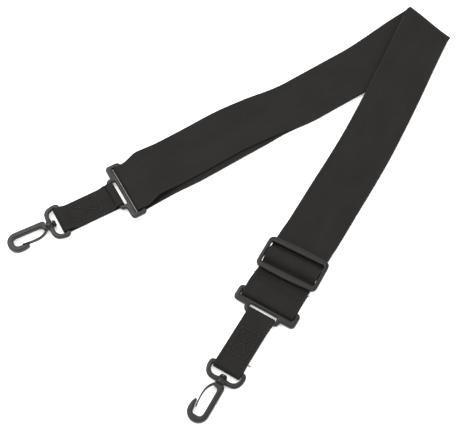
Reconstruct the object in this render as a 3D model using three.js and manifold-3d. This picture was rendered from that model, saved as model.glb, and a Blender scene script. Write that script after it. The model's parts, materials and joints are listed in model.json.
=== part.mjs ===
// A two-hook instrument strap: one long 50 mm webbing, doubled through a reducer loop and a
// tri-glide slider, with a short 25 mm sewn tab and a swivel snap hook at each end.
// Millimetres, +Z up, lying folded in a V on a flat surface at z = 0.
import * as THREE from 'three';
import { mergeVertices } from 'three/addons/utils/BufferGeometryUtils.js';
import Module from 'manifold-3d';

const wasm = await Module();
wasm.setup();

// Webbing
const WIDE = 50;
const NARROW = 25;
const THICK = 1.5;
const GAP = 0.3;
const LAYER = THICK + GAP;
const FIRST_LAYER = THICK / 2;
const SECOND_LAYER = FIRST_LAYER + LAYER;
const THIRD_LAYER = SECOND_LAYER + LAYER;
const FOURTH_LAYER = THIRD_LAYER + LAYER;

// Moulded hardware: every bar that carries webbing is 3.8 mm thick with rounded edges
const BAR = 3.8;
const BAR_EDGE = 1;
const BAR_CLEARANCE = 0.5;
const LOOP_RADIUS = BAR / 2 + BAR_CLEARANCE + THICK / 2;
const HARDWARE_HEIGHT = LOOP_RADIUS + THICK / 2;
const LOOP_TOP = HARDWARE_HEIGHT + LOOP_RADIUS;

// Reducer loop, measured outwards from its wide bar
const REDUCER_WIDTH = 58.8;
const WIDE_SLOT = 52;
const WIDE_FRAME_END = 12.7;
const MIDDLE_BAR_START = 7.8;
const NARROW_SLOT_START = 10.1;
const NARROW_FRAME = 33.5;
const NARROW_SLOT = 26;
const NARROW_BAR = 16.5;
const WEBBING_SLACK = 2.4;

// Sewn tab, measured from the reducer's narrow bar to the swivel base's straight bar
const LEFT_TAB_LENGTH = 50.9;
const RIGHT_TAB_LENGTH = 52.6;
const TAB_SLACK = 0.8;

// Swivel base, measured from the middle of its hub
const BASE_BAR = -12.8;
const BASE_WIDTH = 34.4;
const BASE_SIDE = 3.8;
const HUB_LENGTH = 5.2;
const HUB_WIDTH = 9;
const HUB_HEIGHT = 7;
const POST_RADIUS = 1.9;
const BORE_RADIUS = 2.25;
const BARB_RADIUS = 3;

// Snap hook
const HOOK_THICKNESS = 5;
const HOOK_EDGE = 0.8;
const GATE_WIDTH = 3.8;

// Tri-glide slider
const SLIDER_LENGTH = 31.6;
const SLIDER_WIDTH = 57.8;
const SLIDER_BAR = 5;
const SLIDER_WINDOW = 50.8;
const SLIDER_BULGE = 1.1;
const SLIDER_HEIGHT = 7.4;
const CENTRE_BAR_RADIUS = 1.75;
const CENTRE_BAR_HEIGHT = 5.2;
const CENTRE_LOOP_RADIUS = CENTRE_BAR_RADIUS + GAP + THICK / 2;

// Where the strap lies
const LEFT_BAR = new THREE.Vector2(-90, 25.8);
const FOLD_CENTRE = new THREE.Vector2(191.7, 206.3);
const RIGHT_BAR = new THREE.Vector2(33.2, -85.6);
const LEFT_TAB_HEADING = degrees(-150.9);
const LEFT_HOOK_HEADING = degrees(-153.8);
const RIGHT_TAB_HEADING = degrees(-120.7);
const RIGHT_HOOK_HEADING = degrees(-119);
const SLIDER_CENTRE = 292.5;
const FOLD_RADIUS = 4.7;
const FOLD_LIFT = 5;
const LIFT_REACH = 90;
const STEP_CROWDING = 1.5;

const WEBBING_COLOUR = 0x30302d;
const THREAD_COLOUR = 0x4a4a47;
const HARDWARE_COLOUR = 0x3b3b39;

function degrees(angle) {
  return THREE.MathUtils.degToRad(angle);
}

function smooth(value, from, to) {
  return THREE.MathUtils.smoothstep(value, from, to);
}

// ---- Solids and meshes ----

function solid(geometry) {
  const plain = geometry.clone();
  plain.deleteAttribute('normal');
  plain.deleteAttribute('uv');
  const merged = mergeVertices(plain, 1e-4);
  return new wasm.Manifold(new wasm.Mesh({
    numProp: 3,
    vertProperties: new Float32Array(merged.attributes.position.array),
    triVerts: new Uint32Array(merged.index.array),
  }));
}

function geometryOf(manifold) {
  const mesh = manifold.getMesh();
  const geometry = new THREE.BufferGeometry();
  geometry.setAttribute('position', new THREE.BufferAttribute(mesh.vertProperties, 3));
  geometry.setIndex(new THREE.BufferAttribute(mesh.triVerts, 1));
  geometry.computeVertexNormals();
  return geometry;
}

function piece(name, geometry, colour, roughness) {
  const material = new THREE.MeshStandardMaterial({ color: colour, roughness, metalness: 0 });
  const mesh = new THREE.Mesh(geometry, material);
  mesh.name = name;
  return mesh;
}

function webbing(name, geometry) {
  return piece(name, geometry, WEBBING_COLOUR, 0.85);
}

function thread(name, geometry) {
  return piece(name, geometry, THREAD_COLOUR, 0.7);
}

function hardware(name, geometry) {
  return piece(name, geometry, HARDWARE_COLOUR, 0.45);
}

// The corner points of an outline, without the doubles where its arcs meet its lines.
function distinct(points) {
  return points.filter((point, i) => point.distanceTo(points.at(i - 1)) > 1e-3);
}

// A flat outline in x and y, extruded and centred on z = 0, with rounded edges.
function plate(shape, thickness, edge, curveSegments = 6) {
  const points = shape.extractPoints(curveSegments);
  const outline = new THREE.Shape(distinct(points.shape));
  outline.holes = points.holes.map((hole) => new THREE.Path(distinct(hole)));
  const geometry = new THREE.ExtrudeGeometry(outline, {
    depth: thickness - 2 * edge,
    bevelThickness: edge,
    bevelSize: edge,
    bevelOffset: -edge,
    bevelSegments: 2,
  });
  geometry.translate(0, 0, edge - thickness / 2);
  return geometry;
}

// A box bent along a route: place(along 0..1, across -0.5..0.5, height) gives each new point.
function bentBox(steps, stepsAcross, place, thickness = THICK) {
  const geometry = new THREE.BoxGeometry(1, 1, thickness, steps, stepsAcross, 1);
  const position = geometry.attributes.position;
  for (let i = 0; i < position.count; i += 1) {
    const along = Math.round((position.getX(i) + 0.5) * steps) / steps;
    const point = place(along, position.getY(i), position.getZ(i));
    position.setXYZ(i, point.x, point.y, point.z);
  }
  geometry.computeVertexNormals();
  return geometry;
}

// The points and normals of a side profile, with more steps on its curves than on its lines.
function profile(path, stepsPerCurve) {
  const samples = [];
  for (const curve of path.curves.filter((each) => each.getLength() > 1e-3)) {
    const steps = curve.isLineCurve ? 1 : stepsPerCurve;
    for (let i = samples.length ? 1 : 0; i <= steps; i += 1) {
      const point = curve.getPoint(i / steps);
      const tangent = curve.getTangent(i / steps);
      samples.push({ point, normal: new THREE.Vector2(-tangent.y, tangent.x) });
    }
  }
  return samples;
}

// Webbing whose side profile lies in x and z, and whose width runs along y.
function profiledStrip(samples, width) {
  const steps = samples.length - 1;
  return bentBox(steps, 1, (along, across, height) => {
    const { point, normal } = samples[Math.round(along * steps)];
    return new THREE.Vector3(
      point.x + normal.x * height,
      across * width,
      point.y + normal.y * height,
    );
  });
}

// ---- How the strap lies: two arms that meet at a skewed fold ----

const leftDirection = FOLD_CENTRE.clone().sub(LEFT_BAR).angle();
const rightDirection = RIGHT_BAR.clone().sub(FOLD_CENTRE).angle() - 2 * Math.PI;
const foldLine = (leftDirection + rightDirection) / 2 + Math.PI;
const foldAlong = new THREE.Vector2(Math.cos(foldLine), Math.sin(foldLine));
const foldOutward = new THREE.Vector2(foldAlong.y, -foldAlong.x);
const FOLD_SKEW = leftDirection - (foldLine - Math.PI / 2);
const FOLD_SHIFT = Math.tan(-FOLD_SKEW) * Math.PI * (FOLD_RADIUS - LAYER / 2);

const leftFoldEnd = FOLD_CENTRE.clone().addScaledVector(foldAlong, FOLD_SHIFT / 2);
const rightFoldEnd = FOLD_CENTRE.clone().addScaledVector(foldAlong, -FOLD_SHIFT / 2);

function arm(from, to) {
  const direction = to.clone().sub(from);
  return { from, length: direction.length(), angle: direction.angle() };
}

const leftArm = arm(LEFT_BAR, leftFoldEnd);
const rightArm = arm(rightFoldEnd, RIGHT_BAR);

function onArm({ from, angle }, x, y) {
  return new THREE.Vector2(x, y).rotateAround(new THREE.Vector2(), angle).add(from);
}

// The fold stands a little off the surface at its far corner and carries both arms with it.
function lift(plan) {
  const offset = plan.clone().sub(FOLD_CENTRE);
  const inward = Math.max(0, -offset.dot(foldOutward));
  const nearness = Math.max(0, 1 - inward / LIFT_REACH);
  return FOLD_LIFT * nearness ** 2 * smooth(offset.dot(foldAlong), -WIDE / 2, WIDE / 2);
}

// A stretch of one arm. The shears turn its two cut ends to meet the pieces beyond them, and
// its steps are closest together at its fold end. A run of thread covers only a part of the
// width, and is thinner.
function run({
  base, from, to, startShear, endShear, sideways, height, steps, foldAtEnd,
  edges = [-WIDE / 2, WIDE / 2], thick = THICK,
}) {
  return bentBox(steps, 4, (along, across, thickness) => {
    const share = foldAtEnd ? 1 - (1 - along) ** STEP_CROWDING : along ** STEP_CROWDING;
    const middle = THREE.MathUtils.lerp(from, to, share);
    const y = THREE.MathUtils.lerp(...edges, across + 0.5);
    const x = middle - y * THREE.MathUtils.lerp(startShear, endShear, share);
    const plan = onArm(base, x, y + sideways(middle));
    return new THREE.Vector3(plan.x, plan.y, height(middle) + lift(plan) + thickness);
  }, thick);
}

// The left arm bows sideways, and its upper layer wanders off the lower one near the reducer.
function leftBow(x) {
  const near = 0.8 * smooth(x, 20, 80) * (1 - smooth(x, 140, 185));
  return -near - 4.4 * smooth(x, 140, 185) * (1 - smooth(x, 250, 325));
}

function leftLowerSideways(x) {
  return leftBow(x) - 1.2 * smooth(x, 30, 60) * (1 - smooth(x, 125, 165));
}

function leftUpperSideways(x) {
  return leftBow(x) + 4.6 * smooth(x, 4, 22) * (1 - smooth(x, 100, 168));
}

function rightSideways(x) {
  const share = THREE.MathUtils.clamp(x / rightArm.length, 0, 1);
  const bow = 5.4 * Math.sin(Math.PI * share ** 0.85) ** 2;
  return bow + 0.7 * smooth(x, 200, 260) * (1 - smooth(x, 300, rightArm.length));
}

// ---- Webbing of the left arm ----

const LOOP_LEG = 6;
const leftEndShear = Math.tan(LEFT_TAB_HEADING + Math.PI - leftArm.angle);
const rightEndShear = Math.tan(RIGHT_TAB_HEADING - rightArm.angle + 2 * Math.PI);
const foldShear = Math.tan(-FOLD_SKEW);

function leftLowerRun() {
  return run({
    base: leftArm,
    from: LOOP_LEG + GAP,
    to: leftArm.length - GAP,
    startShear: leftEndShear,
    endShear: foldShear,
    sideways: leftLowerSideways,
    height: () => FIRST_LAYER,
    steps: 32,
    foldAtEnd: true,
  });
}

function leftUpperRun() {
  const fallEnd = 48;
  return run({
    base: leftArm,
    from: LOOP_LEG + GAP,
    to: leftArm.length - GAP,
    startShear: leftEndShear,
    endShear: foldShear,
    sideways: leftUpperSideways,
    height: (x) => THREE.MathUtils.lerp(LOOP_TOP, SECOND_LAYER, smooth(x, LOOP_LEG, fallEnd)),
    steps: 32,
    foldAtEnd: true,
  });
}

// Wide webbing round a reducer's wide bar, with the bar at x = 0 and the bight towards +x.
function reducerBight() {
  const path = new THREE.Path();
  path.moveTo(-LOOP_LEG, 0);
  path.lineTo(WEBBING_SLACK, 0);
  path.absarc(WEBBING_SLACK, LOOP_RADIUS, LOOP_RADIUS, -Math.PI / 2, Math.PI / 2, false);
  path.lineTo(-LOOP_LEG, 2 * LOOP_RADIUS);
  const geometry = profiledStrip(profile(path, 10), WIDE);
  geometry.translate(0, 0, -LOOP_RADIUS);
  return geometry;
}

// ---- Webbing at the fold ----

// Each layer wraps half a turn round the fold line, creeping along it because it meets it askew.
function foldBight(radius) {
  const creep = Math.tan(FOLD_SKEW) * Math.PI * radius;
  const axisHeight = FIRST_LAYER + FOLD_RADIUS;
  const halfWidth = WIDE / 2 / Math.cos(FOLD_SKEW);
  return bentBox(10, 4, (along, across, thickness) => {
    const turn = Math.PI * along;
    const reach = radius - thickness;
    const atStart = across * 2 * halfWidth + FOLD_SHIFT / 2;
    const alongFold = atStart + creep * along;
    const foot = FOLD_CENTRE.clone().addScaledVector(foldAlong, alongFold);
    const plan = foot.clone().addScaledVector(foldOutward, reach * Math.sin(turn) + GAP);
    return new THREE.Vector3(plan.x, plan.y, axisHeight - reach * Math.cos(turn) + lift(foot));
  });
}

// ---- Webbing of the right arm ----

const CROSSING_END = 104;
const TOUCH_DOWN = 160;
const SPLICE_START = SLIDER_CENTRE - 36;
const SPLICE_FULL = SLIDER_CENTRE - 27;
const RUN_END = SLIDER_CENTRE - 17;

// Height of the right arm's upper layer: over the left arm, down to the surface, then up over
// the sewn return of the lower layer just before the slider. Next to the fold it comes down
// from the top of the fold's bight.
function rightUpperHeight(x) {
  const overLeftArm = FOURTH_LAYER - SECOND_LAYER;
  const crossing = overLeftArm * (1 - smooth(x, CROSSING_END, TOUCH_DOWN));
  const nearFold = (FIRST_LAYER + 2 * FOLD_RADIUS - FOURTH_LAYER) * (1 - smooth(x, 0, 75));
  const splice = LAYER * smooth(x, SPLICE_START, SPLICE_FULL);
  return SECOND_LAYER + crossing + nearFold + splice;
}

function rightRun(height) {
  return run({
    base: rightArm,
    from: GAP,
    to: RUN_END - GAP,
    startShear: -foldShear,
    endShear: 0,
    sideways: rightSideways,
    height,
    steps: 40,
  });
}

// ---- Webbing round the slider, with the centre bar at x = 0 and the reducer towards +x ----

const REACH_UP = SLIDER_CENTRE - RUN_END;
const RETURN_LENGTH = 25.5;
const RISE_START = -10;
const RISE_MIDDLE = -5;
const HUMP_END = 17;

// The lower layer's end climbs over the centre bar, turns round it and is sewn back underneath.
function centreBarClimb() {
  const start = new THREE.Vector2(RISE_START, SECOND_LAYER);
  const end = new THREE.Vector2(0, CENTRE_BAR_HEIGHT + CENTRE_LOOP_RADIUS);
  return new THREE.CubicBezierCurve(
    start,
    new THREE.Vector2(RISE_MIDDLE, start.y),
    new THREE.Vector2(RISE_MIDDLE, end.y),
    end,
  );
}

function sliderEndLoop() {
  const climb = centreBarClimb();
  const top = Math.PI / 2;
  const path = new THREE.Path();
  path.moveTo(-REACH_UP, SECOND_LAYER);
  path.lineTo(RISE_START, SECOND_LAYER);
  path.bezierCurveTo(climb.v1.x, climb.v1.y, climb.v2.x, climb.v2.y, climb.v3.x, climb.v3.y);
  path.absarc(0, CENTRE_BAR_HEIGHT, CENTRE_LOOP_RADIUS, top, -top, true);
  path.bezierCurveTo(-4, CENTRE_BAR_HEIGHT - CENTRE_LOOP_RADIUS, -4, FIRST_LAYER, -8, FIRST_LAYER);
  path.lineTo(-RETURN_LENGTH, FIRST_LAYER);
  return profiledStrip(profile(path, 8), WIDE);
}

// The main webbing comes up from under the slider's lower bar, over the end loop on the centre
// bar, and goes down again under the upper bar.
function sliderHump() {
  const flat = { point: new THREE.Vector2(-REACH_UP, SECOND_LAYER), normal: new THREE.Vector2(0, 1) };
  const climb = new THREE.Path();
  climb.curves.push(centreBarClimb());
  const rising = [flat, ...profile(climb, 8)].map(({ point, normal }) => ({
    point: point.clone().addScaledVector(normal, LAYER),
    normal,
  }));
  const falling = rising.slice(0, -1).reverse().map(({ point, normal }) => ({
    point: new THREE.Vector2(-point.x, point.y),
    normal: new THREE.Vector2(-normal.x, normal.y),
  }));
  return profiledStrip([...rising, ...falling], WIDE);
}

// ---- Webbing between the slider and the right reducer ----

const tailStart = SLIDER_CENTRE + HUMP_END;
const tailEnd = rightArm.length - LOOP_LEG;
const FRAYED_END = tailStart + 1.5;

function tailHeight(x) {
  return THREE.MathUtils.lerp(THIRD_LAYER, LOOP_TOP, smooth(x, tailStart, tailEnd));
}

function tailShear(x) {
  return (rightEndShear * (x - tailStart)) / (tailEnd - tailStart);
}

function tailRun() {
  return run({
    base: rightArm,
    from: tailStart + GAP,
    to: tailEnd - GAP,
    startShear: tailShear(tailStart + GAP),
    endShear: tailShear(tailEnd - GAP),
    sideways: rightSideways,
    height: tailHeight,
    steps: 8,
  });
}

function tailFoldBack() {
  return run({
    base: rightArm,
    from: FRAYED_END,
    to: tailEnd - GAP,
    startShear: 0,
    endShear: rightEndShear,
    sideways: rightSideways,
    height: () => FIRST_LAYER,
    steps: 3,
  });
}

// ---- Sewn tabs ----

const TAB_CUT = 5.1;
const TAB_SETTLED = 13.5;
const TAB_MEET = 42;

// One narrow strip, with the reducer's narrow bar at x = 0: from the cut end on top, out round
// the swivel base's bar, back underneath, round the narrow bar and in under the cut end.
function tabStrip(length) {
  const top = LOOP_RADIUS;
  const bottom = -LOOP_RADIUS;
  const middle = bottom + LAYER;
  const upper = middle + LAYER;
  const quarter = Math.PI / 2;
  const farBight = length + TAB_SLACK;
  const path = new THREE.Path();
  path.moveTo(TAB_CUT, upper + 2.35);
  path.bezierCurveTo(TAB_CUT + 2.9, upper + 0.9, TAB_CUT + 4.5, upper, TAB_SETTLED, upper);
  path.lineTo(TAB_MEET, upper);
  path.bezierCurveTo(TAB_MEET + 4.5, upper, farBight - 5, top, farBight, top);
  path.absarc(farBight, 0, LOOP_RADIUS, quarter, -quarter, true);
  path.lineTo(0, bottom);
  path.absarc(0, 0, LOOP_RADIUS, -quarter, -3 * quarter, true);
  path.bezierCurveTo(5.3, top, 5.3, middle, 10.6, middle);
  path.lineTo(TAB_MEET, middle);
  return profiledStrip(profile(path, 9), NARROW);
}

// ---- Stitching, each pattern as one joined run of thread lying on the webbing it holds ----

const STITCH_WIDTH = 0.8;
const STITCH_HEIGHT = 0.3;
const STITCH_CLEARANCE = 0.08;
const HIDDEN_STITCH_HEIGHT = 0.14;

function joined(geometries) {
  return geometryOf(geometries.map(solid).reduce((whole, part) => whole.add(part)));
}

function stitchLine([fromX, fromY], [toX, toY], surface, height) {
  const length = Math.hypot(toX - fromX, toY - fromY) + STITCH_WIDTH;
  const geometry = new THREE.BoxGeometry(length, STITCH_WIDTH, height);
  geometry.rotateZ(Math.atan2(toY - fromY, toX - fromX));
  const middle = surface + STITCH_CLEARANCE + height / 2;
  geometry.translate((fromX + toX) / 2, (fromY + toY) / 2, middle);
  return geometry;
}

function boxStitching({ start, end, halfWidth, surface, height, crossed }) {
  const corners = [
    [start, -halfWidth],
    [end, -halfWidth],
    [end, halfWidth],
    [start, halfWidth],
  ];
  const sides = [[0, 1], [1, 2], [2, 3], [3, 0]];
  const crosses = crossed ? [[0, 2], [1, 3]] : [];
  const lines = [...sides, ...crosses];
  return joined(lines.map(([a, b]) => stitchLine(corners[a], corners[b], surface, height)));
}

function tabStitching(surface) {
  return boxStitching({
    start: 16,
    end: 41,
    halfWidth: 8.5,
    surface,
    height: STITCH_HEIGHT,
    crossed: true,
  });
}

// Between the sewn return of the lower layer and the webbing above it, beside the centre bar.
function sliderEndStitching() {
  return boxStitching({
    start: -22,
    end: -12,
    halfWidth: 20,
    surface: THICK,
    height: HIDDEN_STITCH_HEIGHT,
    crossed: false,
  });
}

// On the sloping tail, between the slider and the reducer.
const TAIL_STITCH_START = 2.6;
const TAIL_STITCH_END = 10.2;
const TAIL_STITCH_HALF_WIDTH = 20.5;

function tailStitchLine(x0, x1, y0, y1, steps) {
  const from = tailStart + x0 - STITCH_WIDTH / 2;
  const to = tailStart + x1 + STITCH_WIDTH / 2;
  const rise = THICK / 2 + 2 * STITCH_CLEARANCE + STITCH_HEIGHT / 2;
  return run({
    base: rightArm,
    from,
    to,
    startShear: tailShear(from),
    endShear: tailShear(to),
    sideways: rightSideways,
    height: (x) => tailHeight(x) + rise,
    steps,
    edges: [y0 - STITCH_WIDTH / 2, y1 + STITCH_WIDTH / 2],
    thick: STITCH_HEIGHT,
  });
}

function tailStitching() {
  const half = TAIL_STITCH_HALF_WIDTH;
  return joined([
    tailStitchLine(TAIL_STITCH_START, TAIL_STITCH_START, -half, half, 1),
    tailStitchLine(TAIL_STITCH_END, TAIL_STITCH_END, -half, half, 1),
    tailStitchLine(TAIL_STITCH_START, TAIL_STITCH_END, -half, -half, 5),
    tailStitchLine(TAIL_STITCH_START, TAIL_STITCH_END, half, half, 5),
  ]);
}

// ---- Reducer loop: the wide bar at x = 0, the narrow bar towards +x ----

function roundedRectangle(path, x0, x1, halfWidth, radius) {
  const quarter = Math.PI / 2;
  path.moveTo(x0 + radius, -halfWidth);
  path.lineTo(x1 - radius, -halfWidth);
  path.absarc(x1 - radius, -halfWidth + radius, radius, -quarter, 0, false);
  path.lineTo(x1, halfWidth - radius);
  path.absarc(x1 - radius, halfWidth - radius, radius, 0, quarter, false);
  path.lineTo(x0 + radius, halfWidth);
  path.absarc(x0 + radius, halfWidth - radius, radius, quarter, 2 * quarter, false);
  path.lineTo(x0, -halfWidth + radius);
  path.absarc(x0 + radius, -halfWidth + radius, radius, 2 * quarter, 3 * quarter, false);
  return path;
}

function reducerGeometry() {
  const wide = REDUCER_WIDTH / 2;
  const narrow = NARROW_FRAME / 2;
  const start = -BAR / 2;
  const end = NARROW_BAR + BAR / 2;
  const corner = 3.6;
  const neck = 1.6;
  const quarter = Math.PI / 2;
  const outline = new THREE.Shape();
  outline.moveTo(start + corner, -wide);
  outline.lineTo(WIDE_FRAME_END - corner, -wide);
  outline.absarc(WIDE_FRAME_END - corner, -wide + corner, corner, -quarter, 0, false);
  outline.lineTo(WIDE_FRAME_END, -narrow - neck);
  outline.absarc(WIDE_FRAME_END + neck, -narrow - neck, neck, 2 * quarter, quarter, true);
  outline.bezierCurveTo(end - 2, -narrow, end, -narrow + 2, end, -narrow + 6);
  outline.lineTo(end, narrow - 6);
  outline.bezierCurveTo(end, narrow - 2, end - 2, narrow, WIDE_FRAME_END + neck, narrow);
  outline.absarc(WIDE_FRAME_END + neck, narrow + neck, neck, -quarter, -2 * quarter, true);
  outline.lineTo(WIDE_FRAME_END, wide - corner);
  outline.absarc(WIDE_FRAME_END - corner, wide - corner, corner, 0, quarter, false);
  outline.lineTo(start + corner, wide);
  outline.absarc(start + corner, wide - corner, corner, quarter, 2 * quarter, false);
  outline.lineTo(start, -wide + corner);
  outline.absarc(start + corner, -wide + corner, corner, 2 * quarter, 3 * quarter, false);
  const wideSlot = roundedRectangle(new THREE.Path(), BAR / 2, MIDDLE_BAR_START, WIDE_SLOT / 2, 0.7);
  const narrowEnd = NARROW_BAR - BAR / 2;
  const narrowSlot = roundedRectangle(
    new THREE.Path(), NARROW_SLOT_START, narrowEnd, NARROW_SLOT / 2, 1,
  );
  outline.holes.push(wideSlot, narrowSlot);
  return plate(outline, BAR, BAR_EDGE, 4);
}

// ---- Swivel base: a D with a bored hub, the hub's middle at x = 0 ----

function cylinderAlongX(radius, from, to, sides = 24) {
  const geometry = new THREE.CylinderGeometry(radius, radius, to - from, sides);
  geometry.rotateZ(Math.PI / 2);
  geometry.translate((from + to) / 2, 0, 0);
  return geometry;
}

function swivelBaseGeometry() {
  const half = BASE_WIDTH / 2;
  const inner = half - BASE_SIDE;
  const back = BASE_BAR - BAR / 2;
  const front = BASE_BAR + BAR / 2;
  const outline = new THREE.Shape();
  outline.moveTo(back, -half + 4.5);
  outline.bezierCurveTo(back, -half + 1.5, back + 1.5, -half, back + 5, -half);
  outline.bezierCurveTo(back + 11.5, -half, 1.3, -half + 3.2, 1.3, -half + 8.7);
  outline.lineTo(1.6, -3.6);
  outline.lineTo(1.6, 3.6);
  outline.lineTo(1.3, half - 8.7);
  outline.bezierCurveTo(1.3, half - 3.2, back + 11.5, half, back + 5, half);
  outline.bezierCurveTo(back + 1.5, half, back, half - 1.5, back, half - 4.5);
  const opening = new THREE.Path();
  opening.moveTo(front, -inner + 0.5);
  opening.bezierCurveTo(front + 0.1, -inner, front + 0.5, -inner, front + 1.6, -inner);
  opening.bezierCurveTo(front + 5.2, -inner, -2.5, -inner + 2.2, -2.5, -inner + 6.5);
  opening.lineTo(-3, -3.4);
  opening.lineTo(-3, 3.4);
  opening.lineTo(-2.5, inner - 6.5);
  opening.bezierCurveTo(-2.5, inner - 2.2, front + 5.2, inner, front + 1.6, inner);
  opening.bezierCurveTo(front + 0.5, inner, front + 0.1, inner, front, inner - 0.5);
  outline.holes.push(opening);
  const ring = solid(plate(outline, BAR, BAR_EDGE, 6));
  const hubGeometry = cylinderAlongX(HUB_WIDTH / 2, -HUB_LENGTH / 2, HUB_LENGTH / 2, 28);
  hubGeometry.scale(1, 1, HUB_HEIGHT / HUB_WIDTH);
  const bore = solid(cylinderAlongX(BORE_RADIUS, -HUB_LENGTH, HUB_LENGTH));
  return geometryOf(ring.add(solid(hubGeometry)).subtract(bore));
}

// ---- Snap hook: its post turns in the hub; +x runs to the tip, the spine is on the +y side ----

const EYE_CENTRE = new THREE.Vector2(29.8, -3.4);
const EYE_RADIUS = 4.8;
const SEAT_HALF_WIDTH = 1.2;
const TIP_RADIUS = 9.3;

function hookOutline() {
  const spineOuter = 6;
  const spineInner = EYE_CENTRE.y + EYE_RADIUS;
  const noseOuter = EYE_CENTRE.y - TIP_RADIUS;
  const seat = EYE_CENTRE.x + EYE_RADIUS;
  const outline = new THREE.Shape();
  outline.moveTo(2.9, -3.8);
  outline.lineTo(2.9, 3.6);
  outline.quadraticCurveTo(3.2, spineOuter, 6.5, spineOuter);
  outline.lineTo(EYE_CENTRE.x, EYE_CENTRE.y + TIP_RADIUS);
  outline.absarc(EYE_CENTRE.x, EYE_CENTRE.y, TIP_RADIUS, Math.PI / 2, -Math.PI / 2, true);
  outline.bezierCurveTo(EYE_CENTRE.x - 3, noseOuter, 25, noseOuter + 0.5, 23.1, noseOuter + 1.4);
  outline.bezierCurveTo(22, noseOuter + 2, 22.2, noseOuter + 3.9, 24.2, noseOuter + 3.5);
  outline.lineTo(27.2, noseOuter + 3.7);
  outline.lineTo(28.8, EYE_CENTRE.y - EYE_RADIUS);
  outline.lineTo(EYE_CENTRE.x, EYE_CENTRE.y - EYE_RADIUS);
  outline.quadraticCurveTo(seat, EYE_CENTRE.y - EYE_RADIUS, seat, EYE_CENTRE.y - SEAT_HALF_WIDTH);
  outline.lineTo(seat, EYE_CENTRE.y + SEAT_HALF_WIDTH);
  outline.quadraticCurveTo(seat, spineInner, EYE_CENTRE.x, spineInner);
  outline.lineTo(10.5, spineInner);
  outline.bezierCurveTo(7, spineInner, 6, -0.6, 5.9, -3.2);
  outline.lineTo(4.7, -3.4);
  return outline;
}

function hookGeometry() {
  const body = solid(plate(hookOutline(), HOOK_THICKNESS, HOOK_EDGE, 8));
  const barbStart = -HUB_LENGTH / 2 - 0.75;
  const barbEnd = barbStart - 2.6;
  const post = new THREE.LatheGeometry([
    new THREE.Vector2(0, 4),
    new THREE.Vector2(POST_RADIUS, 4),
    new THREE.Vector2(POST_RADIUS, barbStart),
    new THREE.Vector2(BARB_RADIUS, barbStart - 0.1),
    new THREE.Vector2(BARB_RADIUS, barbStart - 0.9),
    new THREE.Vector2(POST_RADIUS, barbEnd),
    new THREE.Vector2(0, barbEnd),
  ].reverse(), 20);
  post.rotateZ(-Math.PI / 2);
  const slit = new THREE.BoxGeometry(5, 1, 2 * BARB_RADIUS + 1);
  slit.translate(barbEnd + 1.2, 0, 0);
  return geometryOf(body.add(solid(post)).subtract(solid(slit)));
}

// The sprung leaf that closes the hook: thick at its root by the hub, thin where it rests
// inside the nose.
const GATE_ROOT = new THREE.Vector2(4.6, -5.1);
const GATE_TIP = new THREE.Vector2(28, -7.5);

function gateGeometry() {
  const outline = new THREE.Shape();
  outline.moveTo(GATE_ROOT.x - 0.9, GATE_ROOT.y + 0.6);
  outline.bezierCurveTo(8, -9.2, 15, -9.6, GATE_TIP.x, GATE_TIP.y - 0.45);
  outline.lineTo(GATE_TIP.x + 0.2, GATE_TIP.y + 0.4);
  outline.bezierCurveTo(16, -8.6, 9.5, -8, GATE_ROOT.x + 1.2, GATE_ROOT.y + 1.2);
  const geometry = new THREE.ExtrudeGeometry(outline, {
    depth: GATE_WIDTH,
    bevelEnabled: false,
    curveSegments: 12,
  });
  geometry.translate(0, 0, -GATE_WIDTH / 2);
  return geometry;
}

// ---- Tri-glide slider: the centre bar at x = 0 ----

function sliderGeometry() {
  const halfLength = SLIDER_LENGTH / 2;
  const halfWidth = SLIDER_WIDTH / 2;
  const corner = 5;
  const quarter = Math.PI / 2;
  const bulge = halfLength + 2 * SLIDER_BULGE;
  const outline = new THREE.Shape();
  outline.moveTo(-halfLength + corner, -halfWidth);
  outline.lineTo(halfLength - corner, -halfWidth);
  outline.absarc(halfLength - corner, -halfWidth + corner, corner, -quarter, 0, false);
  outline.quadraticCurveTo(bulge, 0, halfLength, halfWidth - corner);
  outline.absarc(halfLength - corner, halfWidth - corner, corner, 0, quarter, false);
  outline.lineTo(-halfLength + corner, halfWidth);
  outline.absarc(-halfLength + corner, halfWidth - corner, corner, quarter, 2 * quarter, false);
  outline.quadraticCurveTo(-bulge, 0, -halfLength, -halfWidth + corner);
  outline.absarc(-halfLength + corner, -halfWidth + corner, corner, 2 * quarter, 3 * quarter, false);
  const window = halfLength - SLIDER_BAR;
  outline.holes.push(roundedRectangle(new THREE.Path(), -window, window, SLIDER_WINDOW / 2, 2));
  const frame = solid(plate(outline, BAR, BAR_EDGE, 6));
  const bar = new THREE.CylinderGeometry(CENTRE_BAR_RADIUS, CENTRE_BAR_RADIUS, SLIDER_WIDTH - 3, 16);
  bar.translate(0, 0, CENTRE_BAR_HEIGHT - SLIDER_HEIGHT);
  return geometryOf(frame.add(solid(bar)));
}

// ---- Assembly ----

function placed(x, y, z, angle, name, ...children) {
  const group = new THREE.Group();
  group.name = name;
  group.position.set(x, y, z);
  group.rotation.z = angle;
  group.add(...children);
  return group;
}

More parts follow.
